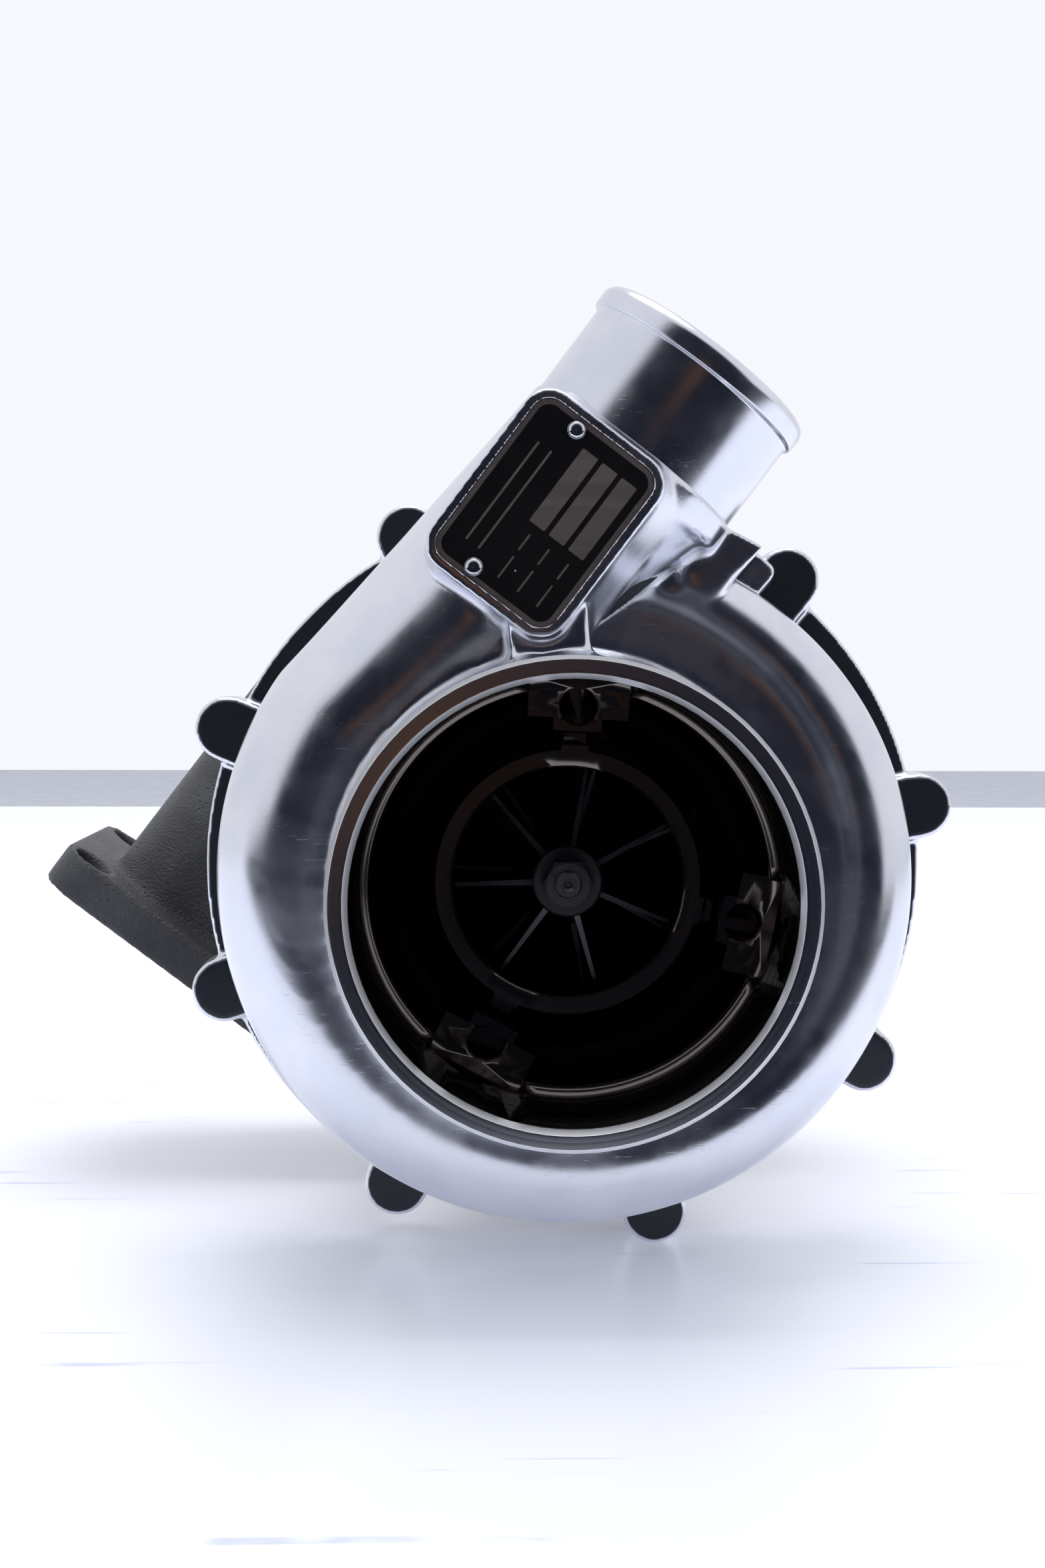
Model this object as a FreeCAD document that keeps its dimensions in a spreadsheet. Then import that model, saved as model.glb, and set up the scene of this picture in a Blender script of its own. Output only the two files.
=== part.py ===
import FreeCAD, Part
import math
import os
import re

import Sketcher

# Frame: the origin is the centre of the compressor inlet's rim. The shaft runs along +Y, from the
# compressor to the turbine, +X is to the right seen from the inlet and +Z is up. In the names
# below, a radius is measured from the shaft axis and a station along +Y from the inlet's rim.

Vector = FreeCAD.Vector
SHAFT = Vector(0, 1, 0)

SIZES = {
    # compressor cover, inlet side
    "inlet_radius": 50.8,
    "inlet_bore": 46.0,
    "rim_chamfer": 0.85,
    "rim_depth": 0.45,
    "neck_end": 12.8,
    "neck_step": 0.8,
    "bore_chamfer": 1.15,
    "bore_end": 27.0,
    "lip_radius": 41.6,
    "lip_station": 30.0,
    "seat_station": 37.0,
    "seat_radius": 37.4,
    "stair_radius": 34.5,
    "stair_station": 41.0,
    "port_radius": 32.0,
    "port_station": 44.0,
    "port_end": 58.0,
    "pad_station": 36.0,
    "pad_width": 22.0,
    "pad_inner": 36.7,
    "bulge_width": 10.6,
    "bulge_inner": 33.9,
    "pad_hole_circle": 39.2,
    "pad_hole_radius": 4.15,
    "pad_hole_depth": 7.0,
    "ring_radius": 29.4,
    "ring_front": 43.0,
    "ring_back": 55.5,
    "rib_width": 5.0,
    "tab_width": 6.0,
    "tab_height": 1.1,
    # compressor cover, scroll and flange
    "shroud_radius": 25.6,
    "web_station": 46.0,
    "crest_radius": 64.0,
    "crest_start": 54.0,
    "crest_gain": 36.0,
    "scroll_reach": 81.0,
    "scroll_wall": 4.5,
    "scroll_root": 47.0,
    "passage_root": 51.0,
    "passage_back": 70.0,
    "exit_angle": 143.0,
    "diffuser_front": 73.2,
    "diffuser_back": 77.0,
    "diffuser_radius": 54.0,
    "collector_radius": 69.0,
    "spigot_radius": 79.0,
    "flange_radius": 84.4,
    "flange_front": 76.0,
    "cover_back": 86.0,
    "lug_front": 74.0,
    "lug_radius": 7.6,
    "lug_circle": 85.5,
    "lug_first": 52.3,
    "lug_step": 42.45,
    "lug_hole_radius": 3.0,
    "lug_hole_depth": 9.5,
    # compressor outlet
    "outlet_angle": 53.0,
    "outlet_offset": 45.1,
    "outlet_station": 44.0,
    "outlet_radius": 25.5,
    "outlet_bore": 22.5,
    "outlet_shoulder": 86.0,
    "outlet_bead_start": 104.4,
    "outlet_end": 110.0,
    "bead_height": 1.2,
    "shoulder_radius": 27.6,
    # name plate
    "plate_along": 60.1,
    "plate_across": 52.7,
    "plate_length": 40.0,
    "plate_width": 30.0,
    "plate_thickness": 0.8,
    "plate_corner": 4.0,
    "plate_station": 14.2,
    "pad_border": 2.2,
    "pad_pocket": 1.0,
    "rivet_radius": 1.0,
    "rivet_head_radius": 1.95,
    "rivet_inset": 2.4,
    "rivet_side": 5.1,
    "rivet_depth": 5.0,
    # compressor wheel and its nut
    "nose_radius": 7.8,
    "nose_station": 43.0,
    "inducer_radius": 25.2,
    "inducer_station": 50.0,
    "exducer_radius": 36.0,
    "exducer_front": 73.6,
    "wheel_disc": 77.0,
    "wheel_back": 78.3,
    "stub_radius": 4.0,
    "nut_flats": 10.0,
    "nut_front": 37.8,
    "nut_face": 4.8,
    "stud_radius": 3.0,
    "stud_front": 36.8,
    # back plate
    "plate_rim": 78.9,
    "plate_back": 86.0,
    "plate_recess": 36.8,
    "plate_recess_back": 79.2,
    "seal_bore": 8.9,
    # rotor inside the bearing housing
    "flinger_radius": 8.5,
    "flinger_back": 88.0,
    "groove_front": 82.2,
    "groove_width": 1.7,
    "groove_radius": 6.6,
    "collar_radius": 12.0,
    "collar_hub": 7.5,
    "collar_front_back": 90.9,
    "collar_rear_front": 94.1,
    "collar_back": 97.0,
    "journal_radius": 7.0,
    "journal_back": 140.0,
    "seal_hub_radius": 9.0,
    "seal_hub_back": 151.5,
    "rear_groove_front": 143.6,
    # thrust and journal bearings
    "thrust_radius": 20.0,
    "thrust_bore": 7.9,
    "thrust_front": 91.0,
    "thrust_back": 94.0,
    "thrust_slot": 15.8,
    "bearing_bore": 7.04,
    "bearing_radius": 11.0,
    "bearing_length": 10.0,
    "front_bearing": 99.6,
    "rear_bearing": 127.0,
    "snap_width": 1.2,
    "snap_inner": 9.3,
    "snap_outer": 12.0,
    # bearing housing
    "housing_bore": 11.06,
    "housing_flange": 58.0,
    "housing_flange_back": 95.0,
    "housing_neck": 33.0,
    "housing_rear_flange": 56.0,
    "housing_rear_front": 141.0,
    "housing_back": 147.0,
    "thrust_cavity": 20.4,
    "collar_cavity": 12.6,
    "collar_cavity_back": 97.6,
    "drain_cavity": 16.0,
    "drain_front": 112.4,
    "drain_back": 124.2,
    "housing_bore_back": 139.4,
    "rear_seal_bore": 9.4,
    "feed_station": 118.0,
    "feed_height": 50.0,
    "feed_boss_radius": 13.0,
    "feed_thread_radius": 6.25,
    "feed_thread_depth": 13.0,
    "feed_gallery": 20.0,
    "gallery_radius": 1.8,
    "drain_height": 52.0,
    "drain_radius": 9.0,
    "drain_width": 62.0,
    "drain_depth": 32.0,
    "drain_bolt_offset": 22.0,
    "drain_bolt_radius": 3.4,
    "drain_bolt_depth": 14.0,
    "plate_screw_circle": 51.0,
    # heat shield and turbine wheel
    "shield_radius": 46.9,
    "shield_bore": 10.0,
    "shield_thickness": 1.0,
    "turbine_radius": 34.0,
    "turbine_front": 151.5,
    "turbine_tip_width": 10.0,
    "turbine_exit_radius": 28.5,
    "turbine_exit": 178.0,
    "turbine_hub_radius": 8.5,
    "turbine_nose": 184.0,
    # turbine housing
    "turbine_flange": 76.0,
    "turbine_flange_back": 152.0,
    "turbine_ledge": 42.0,
    "turbine_slot_back": 162.5,
    "volute_root": 46.0,
    "volute_front": 155.0,
    "volute_radius": 20.0,
    "volute_wall": 5.0,
    "outlet_throat": 29.0,
    "downpipe_bore": 34.0,
    "downpipe_radius": 40.0,
    "band_radius": 46.0,
    "band_front": 207.0,
    "turbine_back": 213.0,
    # turbine foot
    "foot_distance": 88.8,
    "foot_thickness": 11.0,
    "foot_length": 105.0,
    "foot_depth": 73.0,
    "foot_corner": 9.0,
    "foot_across": 50.0,
    "foot_station": 167.5,
    "foot_hole_along": 44.5,
    "foot_hole_deep": 28.5,
    "foot_hole_radius": 5.3,
    "spot_face_radius": 10.0,
    "port_length": 64.0,
    "port_depth": 44.0,
    "port_corner": 10.0,
    "neck_length": 78.0,
    "neck_depth": 57.0,
    # clamps and screws
    "clamp_thickness": 3.0,
    "clamp_inner": 73.5,
    "clamp_radius": 6.8,
    "turbine_clamp_inner": 50.0,
    "turbine_clamp_outer": 74.5,
    "turbine_clamp_thickness": 3.5,
    "turbine_bolt_circle": 66.0,
    "turbine_bolt_radius": 4.0,
    "turbine_bolt_first": 10.0,
    "turbine_tap_depth": 8.0,
    "turbine_bolt_flats": 13.0,
    "turbine_bolt_head": 5.3,
    "bolt_head_height": 4.2,
    "oring_radius": 1.4,
    "ring_gap": 0.8,
}

PAD_ANGLES = (87.0, -12.0, -117.4)
LUG_COUNT = 8
BLADE_PAIRS = 7
TURBINE_BLADES = 11
SCREW_COUNT = 6
TURBINE_BOLT_COUNT = 6

doc = FreeCAD.newDocument("turbocharger")
sheet = doc.addObject("Spreadsheet::Sheet", "dims")
for row, (alias, amount) in enumerate(SIZES.items(), start=1):
    sheet.set("A%d" % row, alias.replace("_", " "))
    sheet.set("B%d" % row, str(amount))
    sheet.setAlias("B%d" % row, alias)
doc.recompute()

NODES = []


def terms(formula):
    """Signed words and numbers of a sum such as 'lug_front + 2'."""
    return re.findall(r"([+-]?)\s*([A-Za-z_]\w*|[\d.]+)", formula)


def size(formula):
    """Value of a sum of sheet aliases and numbers."""
    total = 0.0
    for sign, word in terms(formula):
        amount = float(sheet.get(word)) if word[0].isalpha() else float(word)
        total += -amount if sign == "-" else amount
    return total


def bound(formula):
    """The same sum as an expression on the sheet."""
    parts = []
    for sign, word in terms(formula):
        name = "dims." + word if word[0].isalpha() else word
        parts.append((sign or "+") + " " + name)
    return " ".join(parts).lstrip("+ ")


def polar(radius, angle, station=0.0):
    """Point at a radius and angle about the shaft; 0 degrees is +X and 90 is +Z."""
    turn = math.radians(angle)
    return Vector(radius * math.cos(turn), station, radius * math.sin(turn))


def about_shaft(angle):
    """Rotation about the shaft that carries +X to the given angle."""
    return FreeCAD.Rotation(SHAFT, -angle)


def node(label, part):
    """Names an object as one of the assembly's sub-parts."""
    part.Label = label
    NODES.append(part)
    return part


# ---- feature helpers -------------------------------------------------------------------------

def turned(name, outline):
    """PartDesign body turned about the shaft from (radius, station) corners."""
    body = doc.addObject("PartDesign::Body", name)
    sketch = body.newObject("Sketcher::SketchObject", name + "_outline")
    plane = [item for item in body.Origin.OriginFeatures if item.Role == "XY_Plane"][0]
    sketch.AttachmentSupport = [(plane, "")]
    sketch.MapMode = "FlatFace"
    corners = [Vector(size(radius), size(station), 0) for radius, station in outline]
    count = len(corners)
    for index in range(count):
        sketch.addGeometry(Part.LineSegment(corners[index], corners[(index + 1) % count]), False)
    for index in range(count):
        joined = (index + 1) % count
        sketch.addConstraint(Sketcher.Constraint("Coincident", index, 2, joined, 1))
    for index, formulas in enumerate(outline):
        for kind, formula in zip(("DistanceX", "DistanceY"), formulas):
            number = sketch.addConstraint(
                Sketcher.Constraint(kind, -1, 1, index, 1, size(formula)))
            if size(formula):
                sketch.setExpression("Constraints[%d]" % number, bound(formula))
    revolution = body.newObject("PartDesign::Revolution", name + "_turning")
    revolution.Profile = sketch
    revolution.ReferenceAxis = (sketch, ["V_Axis"])
    revolution.Angle = 360
    body.Tip = revolution
    return body


def rod(name, radius, length, start, direction):
    """Part cylinder from a start point along a direction; sizes are sheet sums."""
    cylinder = doc.addObject("Part::Cylinder", name)
    cylinder.setExpression("Radius", bound(radius))
    cylinder.setExpression("Height", bound(length))
    cylinder.Placement = FreeCAD.Placement(start, FreeCAD.Rotation(Vector(0, 0, 1), direction))
    return cylinder


def radial_block(name, inner, outer, width, front, back, angle):
    """Part box standing on a radius, from an inner to an outer radius."""
    box = doc.addObject("Part::Box", name)
    box.setExpression("Length", bound(outer) + " - (" + bound(inner) + ")")
    box.setExpression("Width", bound(back) + " - (" + bound(front) + ")")
    box.setExpression("Height", bound(width))
    corner = Vector(size(inner), size(front), -size(width) / 2)
    turn = about_shaft(angle)
    box.Placement = FreeCAD.Placement(turn.multVec(corner), turn)
    return box


def solid(name, shape):
    """Part feature for a form that has no feature of its own."""
    feature = doc.addObject("Part::Feature", name)
    feature.Shape = shape
    return feature


def fused(name, pieces):
    fusion = doc.addObject("Part::MultiFuse", name)
    fusion.Shapes = pieces
    return fusion


def cut(name, base, tools):
    """Base less its tools, taken off one after another."""
    for number, tool in enumerate(tools, start=1):
        last = number == len(tools)
        result = doc.addObject("Part::Cut", name if last else "%s_less_%d" % (name, number))
        result.Base = base
        result.Tool = tool
        result.Refine = False
        base = result
    return base


def group(name, shapes):
    """Several separate identical pieces kept as one sub-part."""
    return solid(name, Part.makeCompound(shapes))


def hex_bolt(head_radius, head_height, shank_radius, shank_length):
    """Hexagon bolt along +Y: its head runs from 0 to the head's height, its shank towards -Y."""
    rim = [polar(head_radius, 60 * step) for step in range(7)]
    head = Part.Face(Part.makePolygon(rim)).extrude(SHAFT * head_height)
    dome = Part.makeCone(head_radius * 1.45, head_radius * 0.85, head_height, Vector(), SHAFT)
    shank = Part.makeCylinder(shank_radius, shank_length, Vector(), -SHAFT)
    return head.common(dome).fuse(shank).removeSplitter()


def rounded_rectangle(centre, along, across, length, width, corner):
    """Closed wire of four sides and four corner arcs, centred in the plane of two directions."""
    half = Vector(length / 2 - corner, width / 2 - corner, 0)
    slant = corner * math.sqrt(0.5)

    def point(x, y):
        return centre + along * x + across * y

    edges = []
    quarters = ((1, 1), (-1, 1), (-1, -1), (1, -1))
    for index, (right, up) in enumerate(quarters):
        x, y = half.x * right, half.y * up
        ends = [point(x + corner * right, y), point(x, y + corner * up)]
        middle = point(x + slant * right, y + slant * up)
        if index % 2:
            ends.reverse()
        edges.append(Part.Arc(ends[0], middle, ends[1]).toShape())
    sides = []
    for index in range(4):
        start = edges[index].Vertexes[-1].Point
        end = edges[(index + 1) % 4].Vertexes[0].Point
        sides += [edges[index], Part.makeLine(start, end)]
    return Part.Wire(sides)


def ellipse_wire(centre, major, minor, major_direction, normal):
    """Ellipse as a closed wire whose seam lies on its major direction."""
    ellipse = Part.Ellipse(Vector(), max(major, minor + 1e-6), minor)
    side = normal.cross(major_direction)
    placement = FreeCAD.Matrix(
        major_direction.x, side.x, normal.x, centre.x,
        major_direction.y, side.y, normal.y, centre.y,
        major_direction.z, side.z, normal.z, centre.z, 0, 0, 0, 1)
    wire = Part.Wire(ellipse.toShape())
    wire.Placement = FreeCAD.Placement(placement)
    return wire


# ---- compressor cover ------------------------------------------------------------------------

outlet_way = polar(1, size("outlet_angle"))
outlet_side = polar(1, size("exit_angle"))


def outlet_point(along, across, station):
    """Point given along the outlet's axis, across it to the upper left, and by its station."""
    return outlet_way * along + outlet_side * across + SHAFT * station


def scroll_section(turn):
    """Outer section of the scroll after a clockwise turn in degrees from its start."""
    share = turn / 360.0
    front = size("crest_start") - size("crest_gain") * share
    reach = size("scroll_reach") - 7.0 * (1 - share) ** 3
    crest, root, back = size("crest_radius"), size("scroll_root"), size("flange_front")
    rise = (reach - crest) * (1 + 0.5 * max(0.0, share - 0.28))
    slant = math.sqrt(0.5)
    angle = size("exit_angle") + 360.0 - turn
    corners = [(root, back), (root, front), (crest, front), (reach, front + rise), (reach, back)]
    points = [polar(radius, angle, station) for radius, station in corners]
    curve = [polar(crest + (reach - crest) * math.sin(math.radians(step)), angle,
                   front + rise * (1 - math.cos(math.radians(step)))) for step in range(0, 91, 15)]
    roll = Part.BSplineCurve()
    roll.interpolate(curve, InitialTangent=polar(slant, angle), FinalTangent=SHAFT * slant)
    return Part.Wire([
        Part.makeLine(points[0], points[1]), Part.makeLine(points[1], points[2]),
        roll.toShape(), Part.makeLine(points[3], points[4]), Part.makeLine(points[4], points[0])])


def passage_section(turn):
    """Ellipse of the air passage after a clockwise turn in degrees from the scroll's start."""
    share = turn / 360.0
    front = size("crest_start") - size("crest_gain") * share + size("scroll_wall")
    reach = size("scroll_reach") - 7.0 * (1 - share) ** 3 - size("scroll_wall")
    angle = size("exit_angle") + 360.0 - turn
    root, back = size("passage_root"), size("passage_back")
    flow = polar(1, angle - 90.0)
    centre = polar((reach + root) / 2, angle, (front + back) / 2)
    deep, wide = (back - front) / 2, (reach - root) / 2
    if deep > wide:
        return ellipse_wire(centre, deep, wide, -SHAFT, flow)
    return ellipse_wire(centre, wide, deep, polar(1, angle), flow)


def outlet_neck(inset):
    """Neck from the scroll's exit to the outlet tube, drawn in by an inset."""
    reach = size("scroll_reach")
    root = size("passage_root") - size("scroll_wall")
    deep = (size("passage_back") + size("scroll_wall") - 18.0) / 2
    first = outlet_point(-1.0, (reach + root) / 2, 18.0 + deep)
    middle = outlet_point(45.0, (reach + root) / 2 - 9.3, size("outlet_station") + 1.0)
    last_radius = size("shoulder_radius") if inset == 0 else size("outlet_bore") - 0.3
    wires = [
        ellipse_wire(first, deep - inset, (reach - root) / 2 - inset, -SHAFT, outlet_way),
        ellipse_wire(middle, 27.0 - inset, 22.0 - inset, -SHAFT, outlet_way),
        ellipse_wire(outlet_point(size("outlet_shoulder"), size("outlet_offset"),
                                  size("outlet_station")),
                     last_radius + 0.01, last_radius, -SHAFT, outlet_way)]
    return Part.makeLoft(wires, True)


def cover_pads():
    """Three machined screw pads and the ribs that carry the shroud ring, with their cuts."""
    added, removed = [], []
    for number, angle in enumerate(PAD_ANGLES, start=1):
        tag = "_%d" % number
        added.append(radial_block("screw_pad" + tag, "pad_inner", "inlet_bore + 1", "pad_width",
                                  "pad_station", "pad_station + 12", angle))
        added.append(radial_block("pad_bulge" + tag, "bulge_inner", "pad_inner + 1", "bulge_width",
                                  "pad_station", "pad_station + 12", angle))
        added.append(radial_block("ring_rib" + tag, "ring_radius - 1", "port_radius + 1",
                                  "rib_width", "ring_front + 4", "ring_back", angle))
        added.append(radial_block("ring_tab" + tag, "ring_radius - 1", "ring_radius + tab_height",
                                  "tab_width", "ring_front", "ring_front + 4", angle))
        removed.append(radial_block("lip_gap" + tag, "lip_radius - 2", "inlet_bore - 0.2",
                                    "pad_width", "bore_end", "pad_station", angle))
        centre = polar(size("pad_hole_circle"), angle, size("pad_station"))
        removed.append(rod("pad_hole" + tag, "pad_hole_radius", "pad_hole_depth", centre, SHAFT))
    return added, removed


def cover_lugs():
    """Eight bolt lugs round the flange and the blind holes in their rear faces."""
    added, removed = [], []
    for number in range(LUG_COUNT):
        angle = size("lug_first") - number * size("lug_step")
        centre = polar(size("lug_circle"), angle, size("lug_front"))
        added.append(rod("lug_%d" % number, "lug_radius", "cover_back - lug_front", centre, SHAFT))
        added.append(radial_block("lug_web_%d" % number, "spigot_radius - 5", "lug_circle",
                                  "lug_radius + lug_radius", "lug_front", "cover_back", angle))
        foot = polar(size("lug_circle"), angle, size("cover_back"))
        removed.append(rod("lug_hole_%d" % number, "lug_hole_radius", "lug_hole_depth",
                           foot, -SHAFT))
    return added, removed


def name_plate_block(name, depth, border, front):
    """Rounded block lying under the name plate, pointing inwards from its front station."""
    centre = outlet_point(size("plate_along"), size("plate_across"), front)
    wire = rounded_rectangle(centre, outlet_way, outlet_side, size("plate_length") + 2 * border,
                             size("plate_width") + 2 * border, size("plate_corner") + border)
    return solid(name, Part.Face(wire).extrude(SHAFT * depth))


def cast_boss():
    """Cast block between the outlet neck and the first lug, cut off at the flange's edge."""
    inner = polar(71.0, 67.0, 52.0)
    wire = rounded_rectangle(inner + outlet_way * 6.0, outlet_way, outlet_side, 28.0, 13.0, 6.0)
    block = Part.Face(wire).extrude(SHAFT * 26.0)
    return solid("cast_boss", block.common(Part.makeCylinder(
        size("flange_radius") + 1.2, 60.0, SHAFT * 40.0, SHAFT)))


def rivet_points():
    """Centres of the two drive rivets, one at each end of the name plate."""
    reach = size("plate_length") / 2 - size("rivet_inset")
    return [outlet_point(size("plate_along") + end * reach,
                         size("plate_across + rivet_side"), size("plate_station"))
            for end in (1, -1)]


def compressor_cover():
    core = turned("cover_core", [
        ("lip_radius - 12", "port_end"), ("scroll_root - 4", "port_end - 16"),
        ("scroll_root - 2", "0"), ("inlet_radius - rim_chamfer", "0"),
        ("inlet_radius", "rim_depth"), ("inlet_radius", "neck_end"),
        ("inlet_radius + neck_step", "neck_end + neck_step"),
        ("inlet_radius + neck_step", "web_station"),
        ("crest_radius - 3", "web_station"), ("crest_radius + 7", "web_station + 20"),
        ("spigot_radius - 5", "flange_front"), ("flange_radius - 0.8", "flange_front"),
        ("flange_radius", "flange_front + 0.8"), ("flange_radius", "cover_back"),
        ("lip_radius - 12", "cover_back")])
    # The turned void: bore, lip, seats, port annulus, shroud, diffuser, collector and spigot.
    void = turned("cover_void", [
        ("0", "0"), ("inlet_bore + bore_chamfer", "0"), ("inlet_bore", "bore_chamfer"),
        ("inlet_bore", "bore_end"), ("inlet_bore - 0.6", "bore_end + 1.6"),
        ("inlet_bore - 2", "lip_station - 0.3"), ("lip_radius", "lip_station"),
        ("lip_radius", "seat_station"), ("seat_radius", "seat_station"),
        ("seat_radius", "stair_station - 1"), ("stair_radius", "stair_station"),
        ("port_radius", "port_station"), ("port_radius", "port_end"),
        ("shroud_radius", "port_end"), ("shroud_radius + 0.1", "port_end + 1"),
        ("shroud_radius + 0.6", "port_end + 4.5"), ("shroud_radius + 1.7", "port_end + 8.7"),
        ("shroud_radius + 3.7", "port_end + 12.1"), ("shroud_radius + 6.8", "port_end + 14.2"),
        ("exducer_radius + 0.6", "diffuser_front"),
        ("diffuser_radius", "diffuser_front"), ("diffuser_radius", "passage_back - 8"),
        ("collector_radius", "passage_back - 8"), ("collector_radius", "diffuser_back"),
        ("spigot_radius", "diffuser_back"), ("spigot_radius", "cover_back"),
        ("0", "cover_back")])
    ring = turned("shroud_ring", [
        ("shroud_radius", "ring_front + 0.6"), ("shroud_radius + 0.6", "ring_front"),
        ("ring_radius", "ring_front"), ("ring_radius", "ring_back"),
        ("shroud_radius", "ring_back")])
    turns = range(30, 361, 30)
    scroll = solid("scroll_shell", Part.makeLoft([scroll_section(turn) for turn in turns], True))
    passage = solid("scroll_passage",
                    Part.makeLoft([passage_section(turn) for turn in range(45, 361, 35)], True))
    tube_start = outlet_point(size("outlet_shoulder") - 6, size("outlet_offset"),
                              size("outlet_station"))
    tube = rod("outlet_tube", "outlet_radius", "outlet_end - outlet_shoulder + 6",
               tube_start, outlet_way)
    bead_start = outlet_point(size("outlet_bead_start"), size("outlet_offset"),
                              size("outlet_station"))
    bead = rod("outlet_bead", "outlet_radius + bead_height", "outlet_end - outlet_bead_start",
               bead_start, outlet_way)
    bore = rod("outlet_bore_cut", "outlet_bore", "outlet_end - outlet_shoulder + 8",
               tube_start, outlet_way)
    pad_front = size("plate_station") - size("pad_pocket")
    plate_pad = name_plate_block("plate_pad", 34.0, size("pad_border"), pad_front)
    pocket = name_plate_block("plate_pocket", size("pad_pocket") + size("plate_thickness"),
                              0.15, pad_front)
    gusset_wire = rounded_rectangle(outlet_point(34.0, 50.0, pad_front + 1.5), outlet_way,
                                    outlet_side, 20.0, 13.0, 3.0)
    gusset = solid("plate_gusset", Part.Face(gusset_wire).extrude(SHAFT * 30.0))
    pad_pieces, pad_cuts = cover_pads()
    lug_pieces, lug_cuts = cover_lugs()
    rivet_holes = [rod("rivet_hole_%d" % number, "rivet_radius", "rivet_depth + 1", point, SHAFT)
                   for number, point in enumerate(rivet_points(), start=1)]
    casting = fused("cover_casting", [
        core, scroll, solid("outlet_neck", outlet_neck(0.0)), tube, bead, plate_pad, gusset,
        cast_boss()] + lug_pieces)
    hollowed = cut("cover_hollowed", casting, [
        solid("neck_passage", outlet_neck(size("scroll_wall"))), bore, passage, void, pocket])
    detailed = fused("cover_detailed", [hollowed, ring] + pad_pieces)
    return cut("compressor_cover", detailed, pad_cuts + lug_cuts + rivet_holes)


def nameplate():
    blank = name_plate_block("plate_blank", size("plate_thickness"), 0.0, size("plate_station"))
    holes = [rod("plate_hole_%d" % number, "rivet_radius", "plate_thickness", point, SHAFT)
             for number, point in enumerate(rivet_points(), start=1)]
    return cut("nameplate", blank, holes)


def nameplate_rivets():
    """Domed drive rivets, each a spherical cap on a pin."""
    radius = size("rivet_head_radius")
    rivets = []
    for point in rivet_points():
        ball = Part.makeSphere(radius * 1.25, point + SHAFT * radius * 0.75)
        head = ball.common(Part.makeCylinder(radius, radius, point, -SHAFT))
        pin = Part.makeCylinder(size("rivet_radius"), size("rivet_depth"), point, SHAFT)
        rivets.append(head.fuse(pin).removeSplitter())
    return group("nameplate_rivets", rivets)


# ---- rotor -----------------------------------------------------------------------------------

def quarter(first, last, share, ease, power=1.0):
    """Value between two ends along a quarter ellipse: ease is math.sin or math.cos."""
    angle = share * math.pi / 2
    gain = math.sin(angle) if ease is math.sin else 1 - math.cos(angle)
    return first + (last - first) * gain ** power


def blade(hub_path, tip_path, start, sweep, first_angle, root_thickness, tip_thickness):
    """Thin blade lofted through straight filaments from the hub line to the tip line."""
    wires = []
    stations = 6
    for step in range(stations + 1):
        share = start + (1 - start) * step / stations
        angle = first_angle + sweep(share)
        side = polar(1, angle + 90)
        hub_radius, hub_station = hub_path(share)
        tip_radius, tip_station = tip_path(share)
        root = polar(hub_radius, angle, hub_station)
        tip = polar(tip_radius, angle, tip_station)
        root = root - (tip - root).normalize() * 0.9
        corners = [root - side * root_thickness, root + side * root_thickness,
                   tip + side * tip_thickness, tip - side * tip_thickness]
        wires.append(Part.makePolygon(corners + corners[:1]))
    return Part.makeLoft(wires, True)


def hub_solid(path, closing):
    """Solid of revolution under a hub line, closed by further (radius, station) corners."""
    line = [path(step / 12) for step in range(13)]
    curve = Part.BSplineCurve()
    curve.interpolate([Vector(radius, station, 0) for radius, station in line])
    corners = [Vector(*line[-1], 0)] + [Vector(*corner, 0) for corner in closing]
    corners.append(Vector(*line[0], 0))
    outline = Part.Wire([curve.toShape()] + Part.makePolygon(corners).Edges)
    return Part.Face(outline).revolve(Vector(), SHAFT, 360)


def compressor_wheel():
    """Seven full blades and seven splitters, swept back from the turning direction."""
    tip_back = size("exducer_front")

    def hub_path(share):
        return (quarter(size("nose_radius"), size("exducer_radius"), share, math.cos),
                quarter(size("nose_station") + 4, size("wheel_disc"), share, math.sin))

    def tip_path(share):
        return (quarter(size("inducer_radius"), size("exducer_radius"), share, math.cos, 1.6),
                quarter(size("inducer_station"), tip_back, share, math.sin))

    def sweep(share):
        return 52.0 * share + 12.0 * share * share

    stub, nose = size("stub_radius"), size("nose_station")
    wheel = hub_solid(hub_path, [(size("exducer_radius"), size("wheel_back") - 0.5),
                                 (size("exducer_radius") - 6, size("wheel_back")),
                                 (stub, size("wheel_back")), (stub, nose),
                                 (size("nose_radius") - 0.4, nose),
                                 (size("nose_radius"), nose + 0.4)])
    blades = []
    for number in range(BLADE_PAIRS):
        angle = 80.0 + number * 360.0 / BLADE_PAIRS
        half = 180.0 / BLADE_PAIRS
        blades.append(blade(hub_path, tip_path, 0.0, sweep, angle, 0.65, 0.4))
        blades.append(blade(hub_path, tip_path, 0.35, sweep, angle + half, 0.6, 0.4))
    envelope = Part.makeCylinder(size("exducer_radius"), 60, SHAFT * (nose - 2), SHAFT)
    return solid("compressor_wheel", wheel.fuse(blades).common(envelope))


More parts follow.
